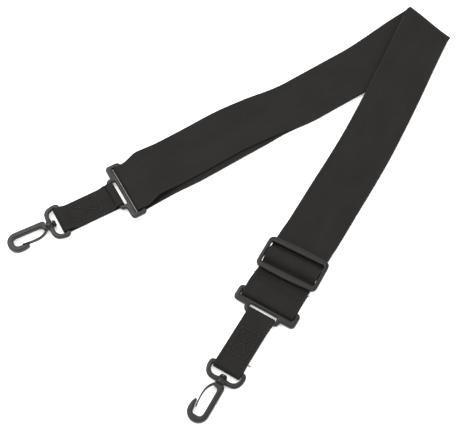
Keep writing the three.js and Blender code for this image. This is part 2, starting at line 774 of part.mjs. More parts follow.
// One end of the strap, from the reducer's wide bar outwards. A turned tab has its cut ends
// underneath, and a turned hook has its gate on the other side.
function endChain({ side, bar, tabHeading, tabLength, hookHeading, tabTurned, hookTurned }) {
  const reducer = hardware(`${side}_reducer`, reducerGeometry());
  const tab = webbing(`${side}_tab`, tabStrip(tabLength));
  const surface = tabTurned ? LOOP_RADIUS + THICK / 2 : 2 * LAYER - LOOP_RADIUS + THICK / 2;
  const stitching = thread(`${side}_tab_stitching`, tabStitching(surface));
  if (tabTurned) {
    tab.rotation.x = Math.PI;
  }
  const hook = hardware(`${side}_hook`, hookGeometry());
  const gate = hardware(`${side}_gate`, gateGeometry());
  const gateHinge = placed(0, 0, 0, 0, `${side}_gate_frame`, gate);
  const swivel = placed(-BASE_BAR, 0, 0, 0, `${side}_hub`, hook, gateHinge);
  if (hookTurned) {
    swivel.rotation.x = Math.PI;
  }
  const base = hardware(`${side}_swivel_base`, swivelBaseGeometry());
  base.position.x = -BASE_BAR;
  const baseBar = placed(
    tabLength, 0, 0, hookHeading - tabHeading, `${side}_base_bar`, base, swivel,
  );
  const narrowBar = placed(NARROW_BAR, 0, 0, 0, `${side}_narrow_bar`, tab, stitching, baseBar);
  return placed(bar.x, bar.y, HARDWARE_HEIGHT, tabHeading, `${side}_wide_bar`, reducer, narrowBar);
}

function bightAt(name, bar, heading) {
  return placed(bar.x, bar.y, HARDWARE_HEIGHT, heading, `${name}_place`, webbing(name, reducerBight()));
}

const sliderPlan = onArm(rightArm, SLIDER_CENTRE, rightSideways(SLIDER_CENTRE));
const slider = hardware('slider_frame', sliderGeometry());
slider.position.z = SLIDER_HEIGHT;
const sliderAssembly = placed(
  sliderPlan.x,
  sliderPlan.y,
  0,
  rightArm.angle,
  'slider_centre',
  slider,
  webbing('webbing_slider_end_loop', sliderEndLoop()),
  webbing('webbing_slider_crossover', sliderHump()),
  thread('slider_end_stitching', sliderEndStitching()),
);

const strap = new THREE.Group();
strap.name = 'instrument_strap';
strap.add(
  webbing('webbing_left_lower_run', leftLowerRun()),
  webbing('webbing_left_upper_run', leftUpperRun()),
  bightAt('webbing_left_bight', LEFT_BAR, LEFT_TAB_HEADING),
  webbing('webbing_fold_outer', foldBight(FOLD_RADIUS)),
  webbing('webbing_fold_inner', foldBight(FOLD_RADIUS - LAYER)),
  webbing('webbing_right_upper_run', rightRun(rightUpperHeight)),
  webbing('webbing_right_lower_run', rightRun((x) => rightUpperHeight(x) - LAYER)),
  sliderAssembly,
  webbing('webbing_tail_run', tailRun()),
  webbing('webbing_tail_fold_back', tailFoldBack()),
  thread('tail_stitching', tailStitching()),
  bightAt('webbing_tail_bight', RIGHT_BAR, RIGHT_TAB_HEADING),
  endChain({
    side: 'left',
    bar: LEFT_BAR,
    tabHeading: LEFT_TAB_HEADING,
    tabLength: LEFT_TAB_LENGTH,
    hookHeading: LEFT_HOOK_HEADING,
    tabTurned: false,
    hookTurned: true,
  }),
  endChain({
    side: 'right',
    bar: RIGHT_BAR,
    tabHeading: RIGHT_TAB_HEADING,
    tabLength: RIGHT_TAB_LENGTH,
    hookHeading: RIGHT_HOOK_HEADING,
    tabTurned: true,
    hookTurned: false,
  }),
);

// The origin is the middle of the strap's footprint, on the surface it lies on.
const extent = new THREE.Box3().setFromObject(strap, true);
const middle = extent.getCenter(new THREE.Vector3());
strap.position.set(-middle.x, -middle.y, -extent.min.z);

export default strap;
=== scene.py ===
"""Looks for the two-hook instrument strap: woven webbing, sewn tabs and moulded hardware around the
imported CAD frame. Layout numbers are in millimetres, as in the part's source; meshes are in metres."""

import json
import math

import bmesh
import bpy
import numpy as np
from mathutils import Matrix, Vector


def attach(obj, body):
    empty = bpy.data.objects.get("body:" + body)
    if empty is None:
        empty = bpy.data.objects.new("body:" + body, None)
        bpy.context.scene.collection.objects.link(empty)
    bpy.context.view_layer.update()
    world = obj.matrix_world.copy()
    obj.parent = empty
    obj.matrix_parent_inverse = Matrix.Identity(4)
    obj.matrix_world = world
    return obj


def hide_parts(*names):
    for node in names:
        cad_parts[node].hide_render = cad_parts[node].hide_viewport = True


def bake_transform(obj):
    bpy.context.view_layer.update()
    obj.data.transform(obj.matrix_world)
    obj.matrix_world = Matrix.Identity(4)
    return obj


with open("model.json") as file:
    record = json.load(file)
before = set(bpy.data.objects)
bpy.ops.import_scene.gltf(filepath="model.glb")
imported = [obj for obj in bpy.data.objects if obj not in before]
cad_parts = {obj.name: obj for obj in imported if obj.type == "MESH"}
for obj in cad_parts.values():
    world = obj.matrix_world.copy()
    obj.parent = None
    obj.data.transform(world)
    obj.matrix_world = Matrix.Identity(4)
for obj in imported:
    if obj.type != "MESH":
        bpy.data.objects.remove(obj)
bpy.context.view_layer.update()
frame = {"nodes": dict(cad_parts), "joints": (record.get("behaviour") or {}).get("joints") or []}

MM = 0.001
QUARTER = math.pi / 2
rng = np.random.default_rng(7)

# ---- Camera ----

IMAGE_WIDTH = 462
FOCAL_PIXELS = 1007.0
SENSOR = 36.0
ELEVATION = math.radians(61.9)
DISTANCE = 0.9
SHIFT = (-9.9927341, -19.0061126)  # from the layout's origin to the middle of the part's box
target = Vector((SHIFT[0] * MM, SHIFT[1] * MM, 0))
back = Vector((0, -math.cos(ELEVATION), math.sin(ELEVATION)))
camera_data = bpy.data.cameras.new("camera")
camera_data.sensor_width = SENSOR
camera_data.lens = FOCAL_PIXELS * SENSOR / IMAGE_WIDTH
camera = bpy.data.objects.new("camera", camera_data)
camera.location = target + back * DISTANCE
camera.rotation_mode = "QUATERNION"
camera.rotation_quaternion = (-back).to_track_quat("-Z", "Y")
bpy.context.scene.collection.objects.link(camera)
bpy.context.scene.camera = camera

# ---- The layout, as in the part's source ----

WIDE = 50
NARROW = 25
THICK = 1.5
GAP = 0.3
LAYER = THICK + GAP
FIRST_LAYER = THICK / 2
SECOND_LAYER = FIRST_LAYER + LAYER
THIRD_LAYER = SECOND_LAYER + LAYER
FOURTH_LAYER = THIRD_LAYER + LAYER
BAR = 3.8
LOOP_RADIUS = BAR / 2 + 0.5 + THICK / 2
HARDWARE_HEIGHT = LOOP_RADIUS + THICK / 2
LOOP_TOP = HARDWARE_HEIGHT + LOOP_RADIUS
NARROW_BAR = 16.5
WEBBING_SLACK = 2.4
LEFT_TAB_LENGTH = 50.9
RIGHT_TAB_LENGTH = 52.6
TAB_SLACK = 0.8
BASE_BAR = -12.8
SLIDER_HEIGHT = 7.4
CENTRE_BAR_RADIUS = 1.75
CENTRE_BAR_HEIGHT = 5.2
CENTRE_LOOP_RADIUS = CENTRE_BAR_RADIUS + GAP + THICK / 2
LEFT_BAR = np.array([-90, 25.8])
FOLD_CENTRE = np.array([191.7, 206.3])
RIGHT_BAR = np.array([33.2, -85.6])
LEFT_TAB_HEADING = math.radians(-150.9)
LEFT_HOOK_HEADING = math.radians(-153.8)
RIGHT_TAB_HEADING = math.radians(-120.7)
RIGHT_HOOK_HEADING = math.radians(-119)
SLIDER_CENTRE = 292.5
FOLD_RADIUS = 4.7
FOLD_LIFT = 5
LIFT_REACH = 90
LOOP_LEG = 6


def heading(vector):
    """The angle of a plan vector from +X."""
    return math.atan2(vector[1], vector[0])


left_direction = heading(FOLD_CENTRE - LEFT_BAR)
right_direction = heading(RIGHT_BAR - FOLD_CENTRE)
fold_line = (left_direction + right_direction) / 2 + math.pi
FOLD_ALONG = np.array([math.cos(fold_line), math.sin(fold_line)])
FOLD_OUTWARD = np.array([FOLD_ALONG[1], -FOLD_ALONG[0]])
FOLD_SKEW = left_direction - (fold_line - QUARTER)
FOLD_SHIFT = math.tan(-FOLD_SKEW) * math.pi * (FOLD_RADIUS - LAYER / 2)


class Arm:
    """A straight reference line in plan, from the fold or to it: x along it and y to its left."""

    def __init__(self, start, end):
        self.start = start
        self.length = float(np.linalg.norm(end - start))
        self.angle = heading(end - start)

    def plan(self, x, y):
        c, s = math.cos(self.angle), math.sin(self.angle)
        return np.stack([self.start[0] + c * x - s * y, self.start[1] + s * x + c * y], -1)


left_arm = Arm(LEFT_BAR, FOLD_CENTRE + FOLD_ALONG * FOLD_SHIFT / 2)
right_arm = Arm(FOLD_CENTRE - FOLD_ALONG * FOLD_SHIFT / 2, RIGHT_BAR)


def smooth(x, a, b):
    """An even rise from 0 at a to 1 at b."""
    t = np.clip((np.asarray(x, float) - a) / (b - a), 0, 1)
    return t * t * (3 - 2 * t)


def lerp(a, b, t):
    return a + (b - a) * t


def lift(plan):
    """How far the webbing stands off the surface towards the fold's free corner."""
    offset = plan - FOLD_CENTRE
    inward = np.maximum(0, -(offset @ FOLD_OUTWARD))
    nearness = np.maximum(0, 1 - inward / LIFT_REACH)
    return FOLD_LIFT * nearness ** 2 * smooth(offset @ FOLD_ALONG, -WIDE / 2, WIDE / 2)


def shared_sideways(x):
    """How far both layers of the left arm wander off its straight line."""
    near = 0.8 * smooth(x, 20, 80) * (1 - smooth(x, 140, 185))
    return -near - 4.4 * smooth(x, 140, 185) * (1 - smooth(x, 250, 325))


def left_lower_sideways(x):
    peek = 1.2 * smooth(x, 30, 60) * (1 - smooth(x, 125, 165))
    return shared_sideways(x) - peek


def left_upper_sideways(x):
    return shared_sideways(x) + 4.6 * smooth(x, 4, 22) * (1 - smooth(x, 100, 168))


def right_sideways(x):
    bow = 5.4 * np.sin(math.pi * (np.asarray(x) / right_arm.length) ** 0.85) ** 2
    return bow + 0.7 * smooth(x, 200, 260) * (1 - smooth(x, 300, right_arm.length))


FEED_LENGTH = 1.2
RUN_END = SLIDER_CENTRE - 17
HUMP_END = 17
TAIL_START = SLIDER_CENTRE + HUMP_END
TAIL_END = right_arm.length - LOOP_LEG
FRAYED_END = TAIL_START + 1.5
LEFT_SHEAR = math.tan(LEFT_TAB_HEADING + math.pi - left_arm.angle)
RIGHT_SHEAR = math.tan(RIGHT_TAB_HEADING - right_arm.angle)
FOLD_SHEAR = math.tan(-FOLD_SKEW)


def right_upper_height(x):
    crossing = (FOURTH_LAYER - SECOND_LAYER) * (1 - smooth(x, 104, 160))
    near_fold = (FIRST_LAYER + 2 * FOLD_RADIUS - FOURTH_LAYER) * (1 - smooth(x, 0, 75))
    return SECOND_LAYER + crossing + near_fold + LAYER * smooth(x, SLIDER_CENTRE - 36, SLIDER_CENTRE - 27)


def tail_height(x):
    return lerp(THIRD_LAYER, LOOP_TOP, smooth(x, TAIL_START, TAIL_END))


def tail_shear(x):
    square = TAIL_START + FEED_LENGTH
    return RIGHT_SHEAR * max(0, x - square) / (TAIL_END - square)


# ---- Middle surface of the long webbing: rows across it, from one cut end to the other ----

EDGE = THICK / 2


def across_places(width):
    inner = width / 2 - EDGE
    share = np.array([0, 0.2, 0.4, 0.6, 0.8, 0.9, 0.955, 1])
    side = inner * share
    return np.concatenate([-side[:0:-1], side])


def relief(plan, strength):
    """A slow waviness of the webbing, the same for every layer at a place."""
    x, y = plan[..., 0], plan[..., 1]
    wave = np.sin(x * 0.043 + y * 0.021) + np.sin(y * 0.037 - x * 0.018 + 1.3)
    return strength * 0.28 * (wave + 2)


def run_rows(arm, xs, v, sign, sideways, height, shear_at, wavy):
    """Rows across the webbing along an arm; shear_at slants each row and wavy scales the relief."""
    rows = []
    for x in xs:
        y = sign * v
        plan = arm.plan(x - y * shear_at(x), y + sideways(x))
        z = height(x) + lift(plan) + relief(plan, wavy(x))
        rows.append(np.concatenate([plan, np.broadcast_to(z, v.shape)[:, None]], 1))
    return rows


def placed_rows(profile, v, sign, origin, angle, base_height):
    """Rows of a strip whose side profile is (x, z) points, with its width along y."""
    c, s = math.cos(angle), math.sin(angle)
    rows = []
    for x, z in profile:
        y = sign * v
        rows.append(np.stack([origin[0] + c * x - s * y, origin[1] + s * x + c * y,
                              np.full_like(y, base_height + z)], -1))
    return rows


def arc(cx, cy, r, start, end, steps):
    t = np.linspace(start, end, steps + 1)
    return [(cx + r * math.cos(a), cy + r * math.sin(a)) for a in t]


def bezier(a, b, c, d, steps):
    a, b, c, d = (np.array(p, float) for p in (a, b, c, d))
    out = []
    for t in np.linspace(0, 1, steps + 1):
        k = 1 - t
        out.append(tuple(k ** 3 * a + 3 * k * k * t * b + 3 * k * t * t * c + t ** 3 * d))
    return out


def quadratic(a, b, c, steps):
    a, b, c = (np.array(p, float) for p in (a, b, c))
    return [tuple((1 - t) ** 2 * a + 2 * t * (1 - t) * b + t * t * c) for t in np.linspace(0, 1, steps + 1)]


def line(a, b, steps=1):
    return [tuple(lerp(np.array(a, float), np.array(b, float), t)) for t in np.linspace(0, 1, steps + 1)]


def joined(*parts):
    out = []
    for part in parts:
        for p in part:
            if not out or math.dist(out[-1], p) > 1e-4:
                out.append(tuple(p))
    return out


def bight_profile():
    return joined(
        line((-LOOP_LEG, -LOOP_RADIUS), (WEBBING_SLACK, -LOOP_RADIUS), 4),
        arc(WEBBING_SLACK, 0, LOOP_RADIUS, -QUARTER, QUARTER, 16),
        line((WEBBING_SLACK, LOOP_RADIUS), (-LOOP_LEG, LOOP_RADIUS), 4),
    )


REACH_UP = SLIDER_CENTRE - RUN_END
RETURN_LENGTH = 25.5
RISE_START = -10
RISE_MIDDLE = -5
BAR_TOP = CENTRE_BAR_HEIGHT + CENTRE_LOOP_RADIUS


def climb(extra=0.0):
    points = np.array(bezier((RISE_START, SECOND_LAYER), (RISE_MIDDLE, SECOND_LAYER),
                             (RISE_MIDDLE, BAR_TOP), (0, BAR_TOP), 14))
    tangent = np.gradient(points, axis=0)
    tangent /= np.linalg.norm(tangent, axis=1)[:, None]
    normal = np.stack([-tangent[:, 1], tangent[:, 0]], 1)
    return [tuple(p) for p in points + normal * extra]


def hump_profile():
    rising = joined(line((-REACH_UP, THIRD_LAYER), (RISE_START, THIRD_LAYER), 3), climb(LAYER))
    return rising + [(-x, z) for x, z in rising[-2::-1]]


def end_loop_profile():
    low = CENTRE_BAR_HEIGHT - CENTRE_LOOP_RADIUS
    return joined(
        line((-REACH_UP, SECOND_LAYER), (RISE_START, SECOND_LAYER), 3),
        climb(),
        arc(0, CENTRE_BAR_HEIGHT, CENTRE_LOOP_RADIUS, QUARTER, -QUARTER, 14),
        bezier((0, low), (-4, low), (-4, FIRST_LAYER), (-8, FIRST_LAYER), 8),
        line((-8, FIRST_LAYER), (-RETURN_LENGTH, FIRST_LAYER), 6),
    )


def fold_rows(radius, v, backwards):
    """Rows half-way round the fold line; a slanted fold makes each row creep along the line."""
    creep = math.tan(FOLD_SKEW) * math.pi * radius
    axis = FIRST_LAYER + FOLD_RADIUS
    rows = []
    for along in np.linspace(0, 1, 17):
        turn = math.pi * along
        place = v / math.cos(FOLD_SKEW) + FOLD_SHIFT / 2 + creep * along
        foot = FOLD_CENTRE + place[:, None] * FOLD_ALONG
        plan = foot + radius * math.sin(turn) * FOLD_OUTWARD
        z = axis - radius * math.cos(turn) + lift(foot) + relief(foot, 1)
        rows.append(np.concatenate([plan, z[:, None]], 1))
    return rows[::-1] if backwards else rows


def stations(a, b, step):
    return np.linspace(a, b, max(2, int(round(abs(b - a) / step)) + 1))


V = across_places(WIDE)
slider_plan = right_arm.plan(SLIDER_CENTRE, right_sideways(SLIDER_CENTRE))
STEP = 2.5
TAIL_STEP = 0.6


def left_wavy(x):
    return smooth(x, 10, 60)


def right_wavy(x):
    return 1 - smooth(x, 200, 258)


def left_run(xs, sideways, height):
    return run_rows(left_arm, xs, V, 1, sideways, height,
                    lambda x: lerp(LEFT_SHEAR, FOLD_SHEAR, (x - LOOP_LEG) / (left_arm.length - LOOP_LEG)),
                    left_wavy)


def right_run(xs, height):
    return run_rows(right_arm, xs, V, -1, right_sideways, height,
                    lambda x: lerp(-FOLD_SHEAR, 0, x / RUN_END), right_wavy)


def tail_rows(xs, height):
    return run_rows(right_arm, xs, V, -1, right_sideways, height, tail_shear, lambda x: 0.0)


left_xs = stations(LOOP_LEG, left_arm.length, STEP)
right_xs = stations(0, RUN_END, STEP)
FALL_END = 48
segments = [
    ("fold_back", tail_rows(stations(FRAYED_END, TAIL_END, 1.2), lambda x: FIRST_LAYER)),
    ("tail_bight", placed_rows(bight_profile(), V, -1, RIGHT_BAR, RIGHT_TAB_HEADING, HARDWARE_HEIGHT)),
    ("tail_run", tail_rows(stations(TAIL_END, TAIL_START, TAIL_STEP), tail_height)),
    ("hump", placed_rows(hump_profile()[::-1], V, -1, slider_plan, right_arm.angle, 0)),
    ("right_upper", right_run(right_xs[::-1], right_upper_height)),
    ("fold_outer", fold_rows(FOLD_RADIUS, V, True)),
    ("left_lower", left_run(left_xs[::-1], left_lower_sideways, lambda x: FIRST_LAYER)),
    ("left_bight", placed_rows(bight_profile(), V, -1, LEFT_BAR, LEFT_TAB_HEADING, HARDWARE_HEIGHT)),
    ("left_upper", left_run(left_xs, left_upper_sideways,
                            lambda x: lerp(LOOP_TOP, SECOND_LAYER, smooth(x, LOOP_LEG, FALL_END)))),
    ("fold_inner", fold_rows(FOLD_RADIUS - LAYER, V, False)),
    ("right_lower", right_run(right_xs, lambda x: right_upper_height(x) - LAYER)),
    ("end_loop", placed_rows(end_loop_profile(), V, -1, slider_plan, right_arm.angle, 0)),
]

# Neighbouring segments share the row where they meet.
rows, span = [], {}
for name, part in segments:
    if rows:
        rows[-1] = (rows[-1] + part[0]) / 2
        span[name] = [len(rows) - 1, 0]
        rows.extend(part[1:])
    else:
        span[name] = [0, 0]
        rows.extend(part)
    span[name][1] = len(rows) - 1
MIDDLE = np.array(rows)
MIDDLE[..., 0] += SHIFT[0]
MIDDLE[..., 1] += SHIFT[1]

# The few rows round each meeting place are averaged, so that no kink shows.
for first_row, _ in span.values():
    for _ in range(2):
        low, high = max(1, first_row - 2), min(len(MIDDLE) - 2, first_row + 2)
        eased = MIDDLE.copy()
        for i in range(low, high + 1):
            eased[i] = MIDDLE[i] * 0.5 + (MIDDLE[i - 1] + MIDDLE[i + 1]) * 0.25
        MIDDLE = eased


def unit(a):
    return a / np.maximum(np.linalg.norm(a, axis=-1, keepdims=True), 1e-12)


def along_lengths(middle):
    centre = middle[:, middle.shape[1] // 2]
    return np.concatenate([[0], np.cumsum(np.linalg.norm(np.diff(centre, axis=0), axis=1))])


def ring_rows(middle, places, width):
    """Each row of the middle surface becomes a closed ring with a selvedge bead and round edges."""
    along = unit(np.gradient(middle, axis=0))
    across = unit(np.gradient(middle, axis=1))
    normal = unit(np.cross(along, across))
    inner = width / 2 - EDGE
    bead = 1 - 0.09 * (1 - smooth(np.abs(places), inner - 3.2, inner - 1.2))
    half = (EDGE * bead)[None, :, None]
    top = middle + normal * half
    bottom = middle - normal * half
    turns = np.radians([27, 55, 90, 125, 153])
    lengths = along_lengths(middle)

    def edge(j, sign, order):
        out, up = sign * across[:, j] * EDGE, normal[:, j] * EDGE
        return np.stack([middle[:, j] + out * math.sin(t) + up * math.cos(t) for t in order], 1)

    ring = np.concatenate([top, edge(-1, 1, turns), bottom[:, ::-1], edge(0, -1, turns[::-1])], 1)
    wrap = EDGE * np.array([0.5, 0.9, 1.2, 1.5, 1.9])
    v = np.concatenate([places, places[-1] + wrap, places[::-1], places[0] - wrap[::-1]])
    strip = np.zeros(ring.shape)
    strip[..., 0] = lengths[:, None]
    strip[..., 1] = v[None]
    return ring, strip


def new_object(name, verts, faces, attributes=None):
    mesh = bpy.data.meshes.new(name)
    mesh.from_pydata([tuple(p) for p in verts], [], faces)
    mesh.validate()
    for key, values in (attributes or {}).items():
        layer = mesh.attributes.new(key, "FLOAT_VECTOR", "POINT")
        layer.data.foreach_set("vector", np.asarray(values, np.float32).ravel())
    bm = bmesh.new()
    bm.from_mesh(mesh)
    bmesh.ops.recalc_face_normals(bm, faces=bm.faces)
    bm.to_mesh(mesh)
    bm.free()
    mesh.shade_smooth()
    obj = bpy.data.objects.new(name, mesh)
    bpy.context.scene.collection.objects.link(obj)
    return obj


def strip_object(name, ring, strip, cap_start, cap_end):
    """A skin over rings of points; the strip attribute holds each point's place on the webbing."""
    n, k = ring.shape[:2]
    faces = []
    for i in range(n - 1):
        for j in range(k):
            q = (j + 1) % k
            faces.append((i * k + j, i * k + q, (i + 1) * k + q, (i + 1) * k + j))
    verts = (ring.reshape(-1, 3) * MM).tolist()
    strips = strip.reshape(-1, 3).tolist()
    half = k // 2
    for wanted, row in ((cap_start, 0), (cap_end, n - 1)):
        if not wanted:
            continue
        start = len(verts)
        verts.extend((ring[row] * MM).tolist())
        strips.extend(strip[row].tolist())
        for j in range(half - 1):
            a, b = start + j, start + j + 1
            d, c = start + (k - 6 - j) % k, start + (k - 7 - j) % k
            if len({a, b, c, d}) == 4:
                faces.append((a, b, c, d))
    return new_object(name, verts, faces, {"strip": strips})


LONG_RING, LONG_STRIP = ring_rows(MIDDLE, V, WIDE)


# ---- Materials ----

def material(name):
    made = bpy.data.materials.new(name)
    made.use_nodes = True
    tree = made.node_tree
    shader = next(n for n in tree.nodes if n.type == "BSDF_PRINCIPLED")
    return made, tree, shader


class Nodes:
    """Short calls for building a node tree."""

    def __init__(self, tree):
        self.tree = tree

    def put(self, value, socket):
        if isinstance(value, bpy.types.NodeSocket):
            self.tree.links.new(value, socket)
        else:
            socket.default_value = value

    def math(self, op, a, b=0.0, c=0.0):
        node = self.tree.nodes.new("ShaderNodeMath")
        node.operation = op
        for value, socket in zip((a, b, c), node.inputs):
            self.put(value, socket)
        return node.outputs[0]

    def add(self, a, b):
        return self.math("ADD", a, b)

    def minus(self, a, b):
        return self.math("SUBTRACT", a, b)

    def times(self, a, b):
        return self.math("MULTIPLY", a, b)

    def noise(self, vector, scale, detail=3.0, rough=0.55):
        node = self.tree.nodes.new("ShaderNodeTexNoise")
        self.put(vector, node.inputs["Vector"])
        node.inputs["Scale"].default_value = scale
        node.inputs["Detail"].default_value = detail
        node.inputs["Roughness"].default_value = rough
        return node.outputs["Fac"]

    def remap(self, value, a, b, c, d):
        node = self.tree.nodes.new("ShaderNodeMapRange")
        node.clamp = True
        self.put(value, node.inputs["Value"])
        for key, number in (("From Min", a), ("From Max", b), ("To Min", c), ("To Max", d)):
            node.inputs[key].default_value = number
        return node.outputs["Result"]

    def vector(self, x, y, z):
        node = self.tree.nodes.new("ShaderNodeCombineXYZ")
        for value, socket in zip((x, y, z), node.inputs):
            self.put(value, socket)
        return node.outputs[0]

    def split(self, vector):
        node = self.tree.nodes.new("ShaderNodeSeparateXYZ")
        self.put(vector, node.inputs[0])
        return node.outputs

    def bump(self, height, strength, distance):
        node = self.tree.nodes.new("ShaderNodeBump")
        node.inputs["Strength"].default_value = strength
        node.inputs["Distance"].default_value = distance
        self.put(height, node.inputs["Height"])
        return node.outputs[0]


def rgb(value, warm=0.0):
    return (value, value * (1 - warm * 0.4), value * (1 - warm), 1.0)


WARM_GLOSS = (1.0, 0.96, 0.91, 1.0)


def grey_mix(nodes, factor, low, high, warm):
    node = nodes.tree.nodes.new("ShaderNodeMix")
    node.data_type = "RGBA"
    colours = [s for s in node.inputs if s.type == "RGBA"]
    nodes.put(factor, node.inputs[0])
    colours[0].default_value = rgb(low, warm)
    colours[1].default_value = rgb(high, warm)
    return [s for s in node.outputs if s.type == "RGBA"][0]


def webbing_material(name, pitch_across, pitch_along, half_width, from_position=None):
    """Plain heavy weave: rounded floats in brick order, painted darker between them as shade, with loose
    fibre and a painted highlight along the selvedges.
    """
    made, tree, shader = material(name)
    nodes = Nodes(tree)
    if from_position is None:
        source = tree.nodes.new("ShaderNodeAttribute")
        source.attribute_name = "strip"
        parts = nodes.split(source.outputs["Vector"])
        along, across = parts[0], parts[1]
    else:
        # The stretch that feeds out of the slider keeps its weave's size as it lengthens.
        direction, offset = from_position
        source = tree.nodes.new("ShaderNodeTexCoord")
        parts = nodes.split(source.outputs["Object"])
        along = nodes.add(nodes.times(parts[0], direction[0] * 1000),
                           nodes.math("MULTIPLY_ADD", parts[1], direction[1] * 1000, offset))
        strip = tree.nodes.new("ShaderNodeAttribute")
        strip.attribute_name = "strip"
        across = nodes.split(strip.outputs["Vector"])[1]
    column = nodes.math("DIVIDE", across, pitch_across)
    odd = nodes.times(nodes.math("FLOORED_MODULO", nodes.math("FLOOR", column), 2.0), 0.5)
    row = nodes.add(nodes.math("DIVIDE", along, pitch_along), odd)
    fx = nodes.minus(nodes.math("FRACT", column), 0.5)
    fy = nodes.minus(nodes.math("FRACT", row), 0.5)
    round_x = nodes.minus(1.0, nodes.times(nodes.times(fx, fx), 3.6))
    round_y = nodes.minus(1.0, nodes.times(nodes.times(fy, fy), 3.9))
    float_height = nodes.times(round_x, round_y)
    drawn_out = nodes.vector(nodes.times(along, 0.35), nodes.times(across, 2.4), 0.0)
    yarn = nodes.noise(drawn_out, 1.6, 3.0)
    fibre = nodes.noise(nodes.vector(along, across, 0.0), 5.5, 2.0, 0.7)
    patch = nodes.noise(nodes.vector(nodes.times(along, 0.5), across, 0.0), 0.05, 4.0)
    # Painted highlight: the colour grows lighter towards both selvedges, as light caught on the rounded
    # edges.
    selvedge_highlight = nodes.remap(nodes.math("ABSOLUTE", across), half_width - 2.6, half_width - 0.2, 0.0, 1.0)
    height = nodes.add(nodes.times(float_height, 0.8), nodes.times(yarn, 0.35))
    height = nodes.add(height, nodes.times(fibre, 0.18))
    # Painted shade: the floats' height also sets the colour, so it is darker between the floats, as shade in
    # the weave's crevices.
    tone = nodes.add(nodes.times(float_height, 0.42), nodes.times(yarn, 0.3))
    tone = nodes.add(tone, nodes.times(nodes.remap(patch, 0.35, 0.65, 0.0, 1.0), 0.22))
    tone = nodes.add(tone, nodes.times(selvedge_highlight, 0.25))
    colour = grey_mix(nodes, nodes.remap(tone, 0.1, 1.1, 0.0, 1.0), WEB_DARK, WEB_LIGHT, 0.16)
    polish = nodes.add(yarn, nodes.times(float_height, 0.3))
    rough = nodes.remap(polish, 0.3, 1.1, 0.82, 0.55)
    tree.links.new(colour, shader.inputs["Base Color"])
    tree.links.new(rough, shader.inputs["Roughness"])
    tree.links.new(nodes.bump(height, 0.75, 0.00022), shader.inputs["Normal"])
    shader.inputs["Specular IOR Level"].default_value = 0.17
    shader.inputs["Specular Tint"].default_value = WARM_GLOSS
    shader.inputs["Sheen Weight"].default_value = 0.04
    shader.inputs["Sheen Roughness"].default_value = 0.45
    return made


def thread_material(name, dark, light):
    """Twisted thread: diagonal plies along each stitch."""
    made, tree, shader = material(name)
    nodes = Nodes(tree)
    source = tree.nodes.new("ShaderNodeAttribute")
    source.attribute_name = "strip"
    parts = nodes.split(source.outputs["Vector"])
    twist = nodes.math("SINE", nodes.add(nodes.times(parts[0], 6.5), parts[1]))
    fuzz = nodes.noise(nodes.vector(parts[0], parts[1], parts[2]), 2.5, 3.0)
    tone = nodes.add(nodes.times(twist, 0.25), fuzz)
    colour = grey_mix(nodes, nodes.remap(tone, 0.1, 1.0, 0.0, 1.0), dark, light, 0.1)
    tree.links.new(colour, shader.inputs["Base Color"])
    tree.links.new(nodes.remap(fuzz, 0.3, 0.7, 0.42, 0.6), shader.inputs["Roughness"])
    tree.links.new(nodes.bump(twist, 0.5, 0.00012), shader.inputs["Normal"])
    shader.inputs["Sheen Weight"].default_value = 0.03
    shader.inputs["Specular IOR Level"].default_value = 0.2
    return made


def hardware_material():
    """Satin black moulding: fine spark-eroded grain, faint scuffs, and edges rubbed a little paler."""
    made, tree, shader = material("moulded_black")
    nodes = Nodes(tree)
    place = tree.nodes.new("ShaderNodeTexCoord").outputs["Object"]
    grain = nodes.noise(place, 2600, 2.0, 0.6)
    cloud = nodes.noise(place, 140, 4.0)
    parts = nodes.split(place)
    drawn_out = nodes.vector(nodes.times(parts[0], 0.25), nodes.times(parts[1], 2.2), parts[2])
    scuffs = nodes.noise(drawn_out, 900, 4.0, 0.7)
    scuff = nodes.remap(scuffs, 0.62, 0.74, 0.0, 1.0)
    geometry = tree.nodes.new("ShaderNodeNewGeometry")
    rub = nodes.remap(geometry.outputs["Pointiness"], 0.5, 0.6, 0.0, 1.0)
    tone = nodes.add(nodes.times(cloud, 0.4), nodes.times(rub, 0.45))
    tone = nodes.add(tone, nodes.times(scuff, 0.3))
    colour = grey_mix(nodes, nodes.remap(tone, 0.1, 0.9, 0.0, 1.0), HARD_DARK, HARD_LIGHT, 0.06)
    rough = nodes.add(nodes.remap(cloud, 0.3, 0.7, 0.3, 0.42), nodes.times(scuff, 0.12))
    tree.links.new(colour, shader.inputs["Base Color"])
    tree.links.new(rough, shader.inputs["Roughness"])
    height = nodes.add(grain, nodes.times(scuff, -0.5))
    tree.links.new(nodes.bump(height, 0.25, 0.00004), shader.inputs["Normal"])
    shader.inputs["Specular IOR Level"].default_value = 0.25
    shader.inputs["Specular Tint"].default_value = WARM_GLOSS
    return made


WEB_DARK, WEB_LIGHT = 0.002, 0.0125
HARD_DARK, HARD_LIGHT = 0.005, 0.014
slide = next(j for j in frame["joints"] if j["name"] == "slider_slide")
ARM_DIRECTION = (-slide["axis"][0], -slide["axis"][1])

WIDE_PITCHES = (1.3, 2.5)
TAB_PITCHES = (1.1, 2.1)
WIDE_WEAVE = webbing_material("webbing_50", *WIDE_PITCHES, WIDE / 2)
TAB_WEAVE = webbing_material("webbing_25", *TAB_PITCHES, NARROW / 2)
THREAD = thread_material("sewing_thread", 0.006, 0.021)
BLACK_THREAD = thread_material("black_thread", 0.002, 0.01)
FIBRE = thread_material("loose_fibre", 0.004, 0.018)
MOULDED = hardware_material()


def finish_piece(obj, look, body, slot, *nodes):
    obj.data.materials.clear()
    obj.data.materials.append(look)
    if body:
        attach(obj, body)
    if nodes:
        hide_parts(*nodes)
    return obj


# ---- The long webbing's pieces ----

